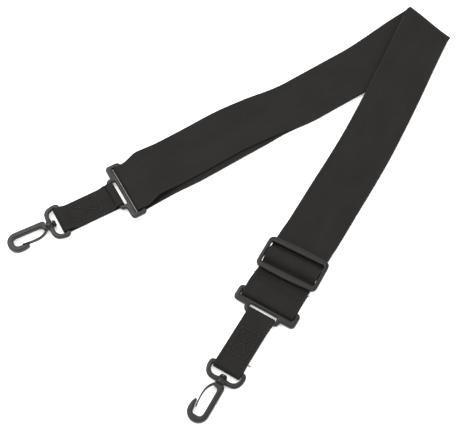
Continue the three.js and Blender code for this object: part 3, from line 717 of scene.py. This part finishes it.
def long_piece(name, first, last, body=None, nodes=(), cap_start=False, cap_end=False):
    obj = strip_object(name, LONG_RING[first:last + 1], LONG_STRIP[first:last + 1], cap_start, cap_end)
    return finish_piece(obj, WIDE_WEAVE, body, "webbing", *nodes)


def row_point(plan, z):
    return ((plan[0] + SHIFT[0]) * MM, (plan[1] + SHIFT[1]) * MM, z * MM)


feed_first = span["tail_run"][1] - int(round(FEED_LENGTH / TAIL_STEP))
long_piece("webbing_tail", 0, feed_first, "tail",
           ("webbing_tail_bight", "webbing_tail_fold_back"), cap_start=True)

FEED_ROWS = 25
feed_last = span["tail_run"][1]


def finer_rows(rows):
    """The feed's rows, spaced more closely so that it stretches evenly."""
    out = []
    for t in np.linspace(0, feed_last - feed_first, FEED_ROWS):
        at = feed_first + int(t)
        out.append(lerp(rows[at], rows[min(at + 1, feed_last)], t - int(t)))
    return np.stack(out)


centre_row = MIDDLE[feed_first, len(V) // 2] * MM
length_there = LONG_STRIP[feed_first, 0, 0]
feed_offset = length_there + (centre_row[0] * ARM_DIRECTION[0] + centre_row[1] * ARM_DIRECTION[1]) * 1000
FEED_WEAVE = webbing_material("webbing_50_feed", *WIDE_PITCHES, WIDE / 2,
                              ((-ARM_DIRECTION[0], -ARM_DIRECTION[1]), feed_offset))
feed = strip_object("webbing_tail_feed", finer_rows(LONG_RING), finer_rows(LONG_STRIP), False, False)
finish_piece(feed, FEED_WEAVE, None, "webbing", "webbing_tail_run")
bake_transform(feed)

# The right arm's upper stretch, from the slider's hump to the fold, is made as a piece of its own.
upper = long_piece("webbing_right_upper", span["hump"][0], span["right_upper"][1], None,
                   ("webbing_right_upper_run", "webbing_slider_crossover"))
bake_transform(upper)
lower = long_piece("webbing_right_lower", span["right_lower"][0], span["end_loop"][1], None,
                   ("webbing_right_lower_run", "webbing_slider_end_loop"), cap_end=True)
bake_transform(lower)
long_piece("webbing_left", span["left_lower"][0], span["left_upper"][1], "left_arm",
           ("webbing_left_lower_run", "webbing_left_upper_run", "webbing_left_bight"))

hinge = next(j for j in frame["joints"] if j["name"] == "fold_hinge")
crease = Vector(hinge["axis"]).normalized()
square = crease.cross(Vector((FOLD_OUTWARD[0], FOLD_OUTWARD[1], 0))).normalized()
if square.z < 0:
    square.negate()

# Each turned stretch round the fold is made as a piece of its own.
for name, reach in (("fold_outer", 2.7), ("fold_inner", 1.0)):
    piece = long_piece("webbing_" + name + "_turn", *span[name], None, ("webbing_" + name,))
    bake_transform(piece)

# ---- Sewn tabs ----

TAB_CUT = 5.1
TAB_SETTLED = 13.5
TAB_MEET = 42


def tab_profile(length):
    """The tab's strip from its upper cut end, round both bars, to its covered end."""
    top, bottom = LOOP_RADIUS, -LOOP_RADIUS
    middle = bottom + LAYER
    over = middle + LAYER
    far = length + TAB_SLACK
    return joined(
        bezier((TAB_CUT, over + 2.35), (TAB_CUT + 2.9, over + 0.9), (TAB_CUT + 4.5, over),
               (TAB_SETTLED, over), 12),
        line((TAB_SETTLED, over), (TAB_MEET, over), 14),
        bezier((TAB_MEET, over), (TAB_MEET + 4.5, over), (far - 5, top), (far, top), 12),
        arc(far, 0, LOOP_RADIUS, QUARTER, -QUARTER, 18),
        line((far, bottom), (0, bottom), 26),
        arc(0, 0, LOOP_RADIUS, -QUARTER, -3 * QUARTER, 18),
        bezier((0, top), (5.3, top), (5.3, middle), (10.6, middle), 14),
        line((10.6, middle), (TAB_MEET, middle), 14),
    )


TAB_V = across_places(NARROW)


class Place:
    """A spot and heading in the layout, where local x runs outwards."""

    def __init__(self, origin, angle):
        self.origin = np.array(origin, float)
        self.angle = angle
        self.turned = False

    def matrix(self, height=HARDWARE_HEIGHT):
        spot = Matrix.Translation(row_point(self.origin, height)) @ Matrix.Rotation(self.angle, 4, "Z")
        if self.turned:
            spot = spot @ Matrix.Rotation(math.pi, 4, "X")
        return spot

    def ahead(self, distance, angle=None):
        step = np.array([math.cos(self.angle), math.sin(self.angle)]) * distance
        return Place(self.origin + step, self.angle if angle is None else angle)


def place_mesh(obj, matrix):
    obj.data.transform(Matrix.Scale(MM, 4))
    obj.data.transform(matrix)
    return obj


def tube(points, radius, sides=7, taper=0.75):
    """Rings of a round thread along points; returns vertices, faces and strip attribute."""
    points = np.asarray(points, float)
    along = unit(np.gradient(points, axis=0))
    side = unit(np.cross(along, np.array([0.13, 0.21, 0.97])))
    upward = np.cross(side, along)
    verts, faces, strips = [], [], []
    lengths = np.concatenate([[0], np.cumsum(np.linalg.norm(np.diff(points, axis=0), axis=1))])
    count = len(points)
    for i in range(count):
        share = abs(2 * i / (count - 1) - 1)
        r = radius * (1 - (1 - taper) * share ** 3)
        for j in range(sides):
            a = 2 * math.pi * j / sides
            verts.append(points[i] + r * (math.cos(a) * side[i] + math.sin(a) * upward[i]))
            strips.append((lengths[i], a, 0.0))
    for i in range(count - 1):
        for j in range(sides):
            q = (j + 1) % sides
            faces.append((i * sides + j, i * sides + q, (i + 1) * sides + q, (i + 1) * sides + j))
    faces.append(tuple(range(sides)))
    faces.append(tuple((count - 1) * sides + j for j in range(sides))[::-1])
    return verts, faces, strips


def gathered(name, tubes, matrix=None):
    verts, faces, strips = [], [], []
    for v, f, s in tubes:
        start = len(verts)
        verts.extend(v)
        strips.extend(s)
        faces.extend(tuple(i + start for i in face) for face in f)
    scale = MM if matrix is None else 1
    obj = new_object(name, [np.asarray(p) * scale for p in verts], faces, {"strip": strips})
    if matrix is not None:
        place_mesh(obj, matrix)
    return obj


STITCH = 3.0
STITCH_GAP = 0.85
THREAD_RADIUS = 0.46


def stitch_line(a, b, surface, places):
    """Separate stitches from a to b, each arching out of the webbing and diving back in."""
    a, b = np.array(a, float), np.array(b, float)
    length = float(np.linalg.norm(b - a))
    count = max(1, int(round(length / (STITCH + STITCH_GAP))))
    pitch = length / count
    direction = (b - a) / length
    for i in range(count):
        start = i * pitch + STITCH_GAP / 2 + rng.uniform(-0.12, 0.12)
        end = (i + 1) * pitch - STITCH_GAP / 2 + rng.uniform(-0.12, 0.12)
        skew = np.array([-direction[1], direction[0]]) * rng.uniform(-0.12, 0.12)
        points = []
        for t in np.linspace(0, 1, 7):
            flat = a + direction * lerp(start, end, t) + skew * (2 * t - 1)
            arch = 0.34 * math.sin(math.pi * t) ** 0.5 - 0.2
            points.append(surface(flat, arch))
        places.append(tube(points, THREAD_RADIUS))


def box_lines(x0, x1, half, crossed=True):
    corners = [(x0, -half), (x1, -half), (x1, half), (x0, half)]
    pairs = [(0, 1), (1, 2), (2, 3), (3, 0)] + ([(0, 2), (1, 3)] if crossed else [])
    return [(corners[i], corners[j]) for i, j in pairs]


STITCH_START = 16
STITCH_END = 41
STITCH_HALF = 8.5


def tab(side, bar, tab_angle, length, turned):
    """A sewn tab; a turned one lies with its overlapped ends underneath."""
    narrow = Place(bar, tab_angle).ahead(NARROW_BAR)
    narrow.turned = turned
    middle = np.array(placed_rows(tab_profile(length), TAB_V, 1, (0, 0), 0, 0))
    ring, strip = ring_rows(middle, TAB_V, NARROW)
    obj = strip_object(side + "_tab_webbing", ring / MM, strip, True, True)
    place_mesh(obj, narrow.matrix())
    finish_piece(obj, TAB_WEAVE, side + "_sewn_tab", "webbing", side + "_tab")
    flat = Place(bar, tab_angle).ahead(NARROW_BAR).matrix()
    face = LOOP_RADIUS + EDGE if turned else 2 * LAYER - LOOP_RADIUS + EDGE
    tubes = []
    for a, b in box_lines(STITCH_START, STITCH_END, STITCH_HALF):
        stitch_line(a, b, lambda p, h: (p[0], p[1], face + h), tubes)
    stitches = gathered(side + "_tab_stitches", tubes, flat)
    finish_piece(stitches, THREAD, side + "_sewn_tab", "thread", side + "_tab_stitching")


tab("left", LEFT_BAR, LEFT_TAB_HEADING, LEFT_TAB_LENGTH, False)
tab("right", RIGHT_BAR, RIGHT_TAB_HEADING, RIGHT_TAB_LENGTH, True)

# ---- Stitching on the tail ----


def tail_surface(p, rise):
    x, y = TAIL_START + p[0], p[1]
    plan = right_arm.plan(x - y * tail_shear(x), y + right_sideways(x))
    return (plan[0] + SHIFT[0], plan[1] + SHIFT[1], float(tail_height(x)) + EDGE + rise)


tubes = []
for a, b in box_lines(2.6, 10.2, 20.5, crossed=False):
    stitch_line(a, b, tail_surface, tubes)
finish_piece(gathered("tail_stitches", tubes), BLACK_THREAD, "tail", "thread", "tail_stitching")

# ---- Loose fibre at the cut ends, and the ends of the sewing thread ----


def fibre(start, direction, length, radius, curl):
    """One fibre leaving start along direction, drooping and curling sideways."""
    direction = unit(np.asarray(direction, float))
    side = unit(np.cross(direction, (0, 0, 1)))
    points = []
    for t in np.linspace(0, 1, 6):
        bend = side * curl * t * t * length
        points.append(np.asarray(start, float) + direction * length * t + bend)
    return tube(points, radius, 5, 0.5)


def frayed_edge(row, toward, count, longest):
    """Fibres standing out of a cut end whose middle row is given, pointing away from the webbing."""
    away = unit(row - toward)
    out = []
    across = np.linspace(0, len(row) - 1, count)
    for place in across + rng.uniform(-0.3, 0.3, count):
        place = min(max(place, 0), len(row) - 1.001)
        i = int(place)
        spot = lerp(row[i], row[i + 1], place - i) - away[i] * 0.5
        spot = spot + np.array([0, 0, rng.uniform(-0.5, 0.5)])
        length = 0.5 + rng.uniform(0.3, 1) ** 2 * longest
        tilt = rng.uniform(-0.5, 0.5)
        direction = away[i] + unit(np.cross(away[i], (0, 0, 1))) * tilt
        out.append(fibre(spot, direction, length, rng.uniform(0.07, 0.14), rng.uniform(-0.5, 0.5)))
    return out


end_row, inner_row = MIDDLE[0], MIDDLE[1]
tubes = frayed_edge(end_row, inner_row, 90, 1.1)
for corner, beyond in ((end_row[0], end_row[0] - end_row[1]), (end_row[-1], end_row[-1] - end_row[-2])):
    outward = unit(beyond)
    back_along = unit(inner_row[0] - end_row[0])
    for _ in range(14):
        spot = corner + back_along * rng.uniform(-0.3, 2.2) - outward * 0.4
        spot = spot + np.array([0, 0, rng.uniform(-0.4, 0.9)])
        direction = outward + back_along * rng.uniform(-0.9, 0.5) + np.array([0, 0, rng.uniform(0, 0.25)])
        length, radius, curl = rng.uniform(1.2, 3.0), rng.uniform(0.09, 0.16), rng.uniform(-0.6, 0.6)
        tubes.append(fibre(spot, direction, length, radius, curl))
finish_piece(gathered("tail_end_fibres", tubes), FIBRE, "tail", "thread")

tubes = frayed_edge(MIDDLE[-1], MIDDLE[-2], 70, 0.8)
finish_piece(gathered("slider_end_fibres", tubes), FIBRE, "slider", "thread")


def tab_fibres(side, bar, tab_angle, length, turned, tail_spot):
    narrow = Place(bar, tab_angle).ahead(NARROW_BAR)
    narrow.turned = turned
    middle = np.array(placed_rows(tab_profile(length), TAB_V, 1, (0, 0), 0, 0))
    tubes = frayed_edge(middle[0], middle[1], 46, 0.9)
    tubes.extend(frayed_edge(middle[-1], middle[-2], 40, 0.6))
    for step in range(3):
        start = (tail_spot[0] + step * 0.5, tail_spot[1], tail_spot[2])
        direction = (0.5 - step * 0.4, math.copysign(1, tail_spot[1]), -0.05)
        tubes.append(fibre(start, direction, 3.6 - step * 0.7, 0.2, 0.5 - step * 0.5))
    obj = gathered(side + "_tab_fibres", tubes, narrow.matrix())
    finish_piece(obj, FIBRE, side + "_sewn_tab", "thread")


tab_fibres("left", LEFT_BAR, LEFT_TAB_HEADING, LEFT_TAB_LENGTH, False, (34, 12.2, 0.6))
tab_fibres("right", RIGHT_BAR, RIGHT_TAB_HEADING, RIGHT_TAB_LENGTH, True, (41.5, -12.2, 0.6))

# ---- Moulded hardware ----


def moulding(name, outline, holes, thickness, edge, resolution=4):
    """A flat moulding with rounded edges, from closed outlines in millimetres."""
    curve = bpy.data.curves.new(name, "CURVE")
    curve.dimensions = "2D"
    curve.fill_mode = "BOTH"
    curve.extrude = thickness / 2 - edge
    curve.bevel_depth = edge
    curve.bevel_resolution = resolution
    curve.offset = -edge
    for loop in [outline, *holes]:
        points = joined(loop)
        if math.dist(points[0], points[-1]) < 1e-3:
            points = points[:-1]
        spline = curve.splines.new("POLY")
        spline.points.add(len(points) - 1)
        for place, (x, y) in zip(spline.points, points):
            place.co = (x, y, 0, 1)
        spline.use_cyclic_u = True
    holder = bpy.data.objects.new(name + "_curve", curve)
    bpy.context.scene.collection.objects.link(holder)
    graph = bpy.context.evaluated_depsgraph_get()
    mesh = bpy.data.meshes.new_from_object(holder.evaluated_get(graph))
    bpy.data.objects.remove(holder)
    bm = bmesh.new()
    bm.from_mesh(mesh)
    bmesh.ops.remove_doubles(bm, verts=bm.verts, dist=1e-4)
    bmesh.ops.recalc_face_normals(bm, faces=bm.faces)
    bm.to_mesh(mesh)
    bm.free()
    obj = bpy.data.objects.new(name, mesh)
    bpy.context.scene.collection.objects.link(obj)
    return obj


def lathe(name, profile, sides=40, flatten=1.0):
    """A closed solid of revolution about x, from (x, radius) points; flatten squeezes it in z."""
    verts, faces = [], []
    for x, r in profile:
        for j in range(sides):
            a = 2 * math.pi * j / sides
            verts.append((x, r * math.cos(a), r * math.sin(a) * flatten))
    for i in range(len(profile) - 1):
        for j in range(sides):
            q = (j + 1) % sides
            faces.append((i * sides + j, i * sides + q, (i + 1) * sides + q, (i + 1) * sides + j))
    faces.append(tuple(range(sides))[::-1])
    faces.append(tuple((len(profile) - 1) * sides + j for j in range(sides)))
    return new_object(name, verts, faces)


def combined(base, other, operation):
    change = base.modifiers.new("change", "BOOLEAN")
    change.operation = operation
    change.solver = "EXACT"
    change.object = other
    graph = bpy.context.evaluated_depsgraph_get()
    mesh = bpy.data.meshes.new_from_object(base.evaluated_get(graph))
    base.modifiers.clear()
    base.data = mesh
    bpy.data.objects.remove(other)
    return base


def hard_piece(obj, matrix, body, *nodes):
    place_mesh(obj, matrix)
    obj.data.shade_smooth()
    obj.data.set_sharp_from_angle(angle=math.radians(38))
    return finish_piece(obj, MOULDED, body, "hardware", *nodes)


CORNER_STEPS = 10


def rounded_rectangle(x0, x1, half, r):
    return joined(
        line((x0 + r, -half), (x1 - r, -half)),
        arc(x1 - r, -half + r, r, -QUARTER, 0, CORNER_STEPS),
        arc(x1 - r, half - r, r, 0, QUARTER, CORNER_STEPS),
        arc(x0 + r, half - r, r, QUARTER, 2 * QUARTER, CORNER_STEPS),
        arc(x0 + r, -half + r, r, 2 * QUARTER, 3 * QUARTER, CORNER_STEPS),
    )


REDUCER_WIDTH = 58.8
REDUCER_NARROW_WIDTH = 33.5
WIDE_FRAME_END = 12.7
MIDDLE_BAR_START = 6.9
NARROW_SLOT_START = 10.1
WIDE_SLOT = 51
NARROW_SLOT = 26
BAR_EDGE = 1.0


def reducer(name):
    """A wide slot for the long webbing and a narrow one for the tab, in one stepped plate."""
    wide, narrow = REDUCER_WIDTH / 2, REDUCER_NARROW_WIDTH / 2
    start, end = -BAR / 2, NARROW_BAR + BAR / 2
    corner, neck, frame_end = 3.6, 1.6, WIDE_FRAME_END
    upper_half = joined(
        arc(start + corner, wide - corner, corner, 2 * QUARTER, QUARTER, CORNER_STEPS),
        arc(frame_end - corner, wide - corner, corner, QUARTER, 0, CORNER_STEPS),
        arc(frame_end + neck, narrow + neck, neck, 2 * QUARTER, 3 * QUARTER, CORNER_STEPS),
        bezier((frame_end + neck, narrow), (end - 2, narrow), (end, narrow - 2), (end, narrow - 6), 14),
    )
    outline = upper_half + [(x, -y) for x, y in upper_half[::-1]]
    wide_slot = rounded_rectangle(BAR / 2, MIDDLE_BAR_START, WIDE_SLOT / 2, 0.7)
    narrow_slot = rounded_rectangle(NARROW_SLOT_START, NARROW_BAR - BAR / 2, NARROW_SLOT / 2, 1)
    return moulding(name, outline, [wide_slot, narrow_slot], BAR, BAR_EDGE)


BASE_WIDTH = 34.4
BASE_SIDE = 3.8


def base_ring(name):
    """A D-shaped ring: a straight bar for the tab and a bowed side that carries the hub."""
    half, inner = BASE_WIDTH / 2, BASE_WIDTH / 2 - BASE_SIDE
    rear, front = BASE_BAR - BAR / 2, BASE_BAR + BAR / 2
    upper_half = joined(
        bezier((rear, half - 4.5), (rear, half - 1.5), (rear + 1.5, half), (rear + 5, half), 10),
        bezier((rear + 5, half), (rear + 11.5, half), (1.3, half - 3.2), (1.3, half - 8.7), 18),
        line((1.3, half - 8.7), (1.6, 3.6), 4),
    )
    outline = upper_half + [(x, -y) for x, y in upper_half[::-1]]
    inside = joined(
        bezier((front, inner - 0.5), (front + 0.1, inner), (front + 0.5, inner), (front + 1.6, inner), 6),
        bezier((front + 1.6, inner), (front + 5.2, inner), (-2.5, inner - 2.2), (-2.5, inner - 6.5), 18),
        line((-2.5, inner - 6.5), (-3, 3.4), 4),
    )
    hole = inside + [(x, -y) for x, y in inside[::-1]]
    return moulding(name, outline, [hole], BAR, BAR_EDGE)


HUB_RADIUS = 4.5
HUB_HALF_HEIGHT = 3.5
HUB_HALF_LENGTH = 2.6
HUB_BORE = 2.25


def swivel_base(name):
    ring = base_ring(name)
    hub = lathe(name + "_hub", [(-HUB_HALF_LENGTH, 3.7), (-2.3, 4.25), (-1.8, HUB_RADIUS), (1.2, HUB_RADIUS),
                                (2.1, 4.3), (HUB_HALF_LENGTH, 3.8)], 40, HUB_HALF_HEIGHT / HUB_RADIUS)
    ring = combined(ring, hub, "UNION")
    bore = lathe(name + "_bore", [(-2 * HUB_HALF_LENGTH, HUB_BORE), (2 * HUB_HALF_LENGTH, HUB_BORE)], 32)
    return combined(ring, bore, "DIFFERENCE")


EYE = (29.8, -3.4)
EYE_RADIUS = 4.8
TIP_RADIUS = 9.3
TIP_AHEAD = 1.1


def hook_outline():
    """The hook's side view, from the neck along its spine, round the eye and back to the gate's root."""
    ex, ey = EYE
    spine_in, nose, seat = ey + EYE_RADIUS, ey - TIP_RADIUS, ex + EYE_RADIUS
    return joined(
        line((2.9, -3.8), (2.9, 3.6)),
        quadratic((2.9, 3.6), (3.2, 6), (6.5, 6), 10),
        line((6.5, 6), (ex + TIP_AHEAD, ey + TIP_RADIUS), 6),
        arc(ex + TIP_AHEAD, ey, TIP_RADIUS, QUARTER, -QUARTER, 44),
        bezier((ex + TIP_AHEAD, nose), (ex - 3, nose), (25, nose + 0.5), (23.1, nose + 1.4), 12),
        bezier((23.1, nose + 1.4), (22, nose + 2), (22.2, nose + 3.9), (24.2, nose + 3.5), 10),
        line((24.2, nose + 3.5), (27.2, nose + 3.7)),
        line((27.2, nose + 3.7), (28.8, ey - EYE_RADIUS)),
        line((28.8, ey - EYE_RADIUS), (ex, ey - EYE_RADIUS)),
        quadratic((ex, ey - EYE_RADIUS), (seat, ey - EYE_RADIUS), (seat, ey - 1.2), 16),
        line((seat, ey - 1.2), (seat, ey + 1.2)),
        quadratic((seat, ey + 1.2), (seat, spine_in), (ex, spine_in), 16),
        line((ex, spine_in), (10.5, spine_in), 4),
        bezier((10.5, spine_in), (7, spine_in), (6, -0.6), (5.9, -3.2), 14),
        line((5.9, -3.2), (4.7, -3.4)),
        line((4.7, -3.4), (2.9, -3.8)),
    )


HOOK_THICKNESS = 5
POST_RADIUS = 1.9
BARB_CLEARANCE = 0.75
BARB_LENGTH = 2.6


def hook(name):
    """The hook with its split post, whose barb holds it in the base's hub."""
    body = moulding(name, hook_outline(), [], HOOK_THICKNESS, 0.8, 5)
    start = -HUB_HALF_LENGTH - BARB_CLEARANCE
    end = start - BARB_LENGTH
    post = lathe(name + "_post", [(end, 2.2), (end + 0.25, 2.6), (start - 0.9, 3.45), (start - 0.5, 3.55),
                                  (start - 0.1, 3.45), (start, 1.95), (start + 0.1, POST_RADIUS),
                                  (4, POST_RADIUS)], 32)
    body = combined(body, post, "UNION")
    x0, x1, half = end - 1.3, start + 1.15, 0.3
    slit = moulding(name + "_slit", [(x0, -half), (x1, -half), (x1, half), (x0, half)], [], 7, 0.01, 0)
    return combined(body, slit, "DIFFERENCE")


GATE_ROOT = (4.6, -5.1)
GATE_TIP = (28, -7.5)


def gate(name):
    """The gate: a thin bowed leaf from its root at the neck to its tip inside the hook's nose."""
    root_x, root_y = GATE_ROOT
    tip_x, tip_y = GATE_TIP
    outer_tip, inner_tip = (tip_x, tip_y - 0.45), (tip_x + 0.2, tip_y + 0.4)
    outline = joined(
        bezier((root_x - 0.9, root_y + 1.3), (8, -9.2), (15, -9.6), outer_tip, 30),
        line(outer_tip, inner_tip),
        bezier(inner_tip, (16, -8.6), (9.5, -8), (root_x + 1.0, root_y + 1.4), 30),
    )
    return moulding(name, outline, [], 3.8, 0.12, 2)


SLIDER_LENGTH = 31.6
SLIDER_WIDTH = 57.8
SLIDER_WINDOW = 50.8
SLIDER_END_BAR = 5


def slider_body(name):
    """A bowed frame round one window, with a round centre bar below its middle."""
    half_length, half_width, corner = SLIDER_LENGTH / 2, SLIDER_WIDTH / 2, 5
    bulge = half_length + 2.2
    right = joined(
        arc(half_length - corner, -half_width + corner, corner, -QUARTER, 0, 12),
        quadratic((half_length, -half_width + corner), (bulge, 0), (half_length, half_width - corner), 24),
        arc(half_length - corner, half_width - corner, corner, 0, QUARTER, 12),
    )
    outline = right + [(-x, y) for x, y in right[::-1]]
    window_end = half_length - SLIDER_END_BAR
    window = rounded_rectangle(-window_end, window_end, SLIDER_WINDOW / 2, 2)
    plate = moulding(name, outline, [window], BAR, BAR_EDGE)
    bar_end = half_width - 1.5
    bar = lathe(name + "_bar", [(-bar_end, CENTRE_BAR_RADIUS), (bar_end, CENTRE_BAR_RADIUS)], 32)
    drop = Matrix.Translation((0, 0, CENTRE_BAR_HEIGHT - SLIDER_HEIGHT))
    bar.data.transform(drop @ Matrix.Rotation(QUARTER, 4, "Z"))
    return combined(plate, bar, "UNION")


def chain(side, bar, tab_angle, length, hook_angle, hook_turned):
    """One end's hardware in line: reducer, swivel base, hook and gate."""
    wide = Place(bar, tab_angle)
    loop = reducer(side + "_reducer_moulding")
    hard_piece(loop, wide.matrix(), side + "_reducer_loop", side + "_reducer")
    base = wide.ahead(NARROW_BAR + length, hook_angle)
    hub = base.ahead(-BASE_BAR)
    hard_piece(swivel_base(side + "_base_moulding"), hub.matrix(), side + "_base", side + "_swivel_base")
    hub.turned = hook_turned
    hard_piece(hook(side + "_hook_moulding"), hub.matrix(), side + "_snap", side + "_hook")
    hard_piece(gate(side + "_gate_leaf"), hub.matrix(), side + "_snap_gate", side + "_gate")


chain("left", LEFT_BAR, LEFT_TAB_HEADING, LEFT_TAB_LENGTH, LEFT_HOOK_HEADING, True)
chain("right", RIGHT_BAR, RIGHT_TAB_HEADING, RIGHT_TAB_LENGTH, RIGHT_HOOK_HEADING, False)
slider_place = Place(slider_plan, right_arm.angle)
hard_piece(slider_body("slider_moulding"), slider_place.matrix(SLIDER_HEIGHT), "slider", "slider_frame")

# The stitching under the slider is out of sight, so its CAD node stays, in black thread.
hidden_stitches = frame["nodes"]["slider_end_stitching"]
hidden_stitches.data.materials.clear()
hidden_stitches.data.materials.append(BLACK_THREAD)

# ---- Floor and light ----


FLOOR_DROP = 0.0003


def floor():
    """A white table that glows a little, so that it stays white under the strap's edges."""
    reach = 6.0
    corners = [(-reach, -reach, 0), (reach, -reach, 0), (reach, reach, 0), (-reach, reach, 0)]
    mesh = bpy.data.meshes.new("floor")
    mesh.from_pydata(corners, [], [(0, 1, 2, 3)])
    obj = bpy.data.objects.new("floor", mesh)
    obj.location.z = -FLOOR_DROP
    bpy.context.scene.collection.objects.link(obj)
    made, tree, shader = material("floor_white")
    nodes = Nodes(tree)
    place = tree.nodes.new("ShaderNodeTexCoord").outputs["Object"]
    speck = nodes.noise(place, 40, 2.0)
    tree.links.new(grey_mix(nodes, speck, 0.9, 0.93, 0.0), shader.inputs["Base Color"])
    shader.inputs["Roughness"].default_value = 0.9
    shader.inputs["Emission Color"].default_value = (1, 1, 1, 1)
    shader.inputs["Emission Strength"].default_value = 0.3
    mesh.materials.append(made)


def area_light(name, place, aim, size, power):
    data = bpy.data.lights.new(name, "AREA")
    data.shape = "SQUARE"
    data.size = size
    data.energy = power
    obj = bpy.data.objects.new(name, data)
    obj.location = place
    direction = Vector(aim) - Vector(place)
    obj.rotation_mode = "QUATERNION"
    obj.rotation_quaternion = direction.to_track_quat("-Z", "Y")
    bpy.context.scene.collection.objects.link(obj)


floor()
world = bpy.data.worlds.new("studio")
world.use_nodes = True
world.node_tree.nodes["Background"].inputs[0].default_value = (1, 1, 1, 1)
world.node_tree.nodes["Background"].inputs[1].default_value = 1.35
bpy.context.scene.world = world
area_light("key", (-0.6, 0.5, 1.4), (0, 0, 0), 1.0, 16)
area_light("fill", (0.9, -0.7, 1.2), (0, 0, 0), 1.2, 6)
bpy.context.scene.view_settings.view_transform = "Standard"
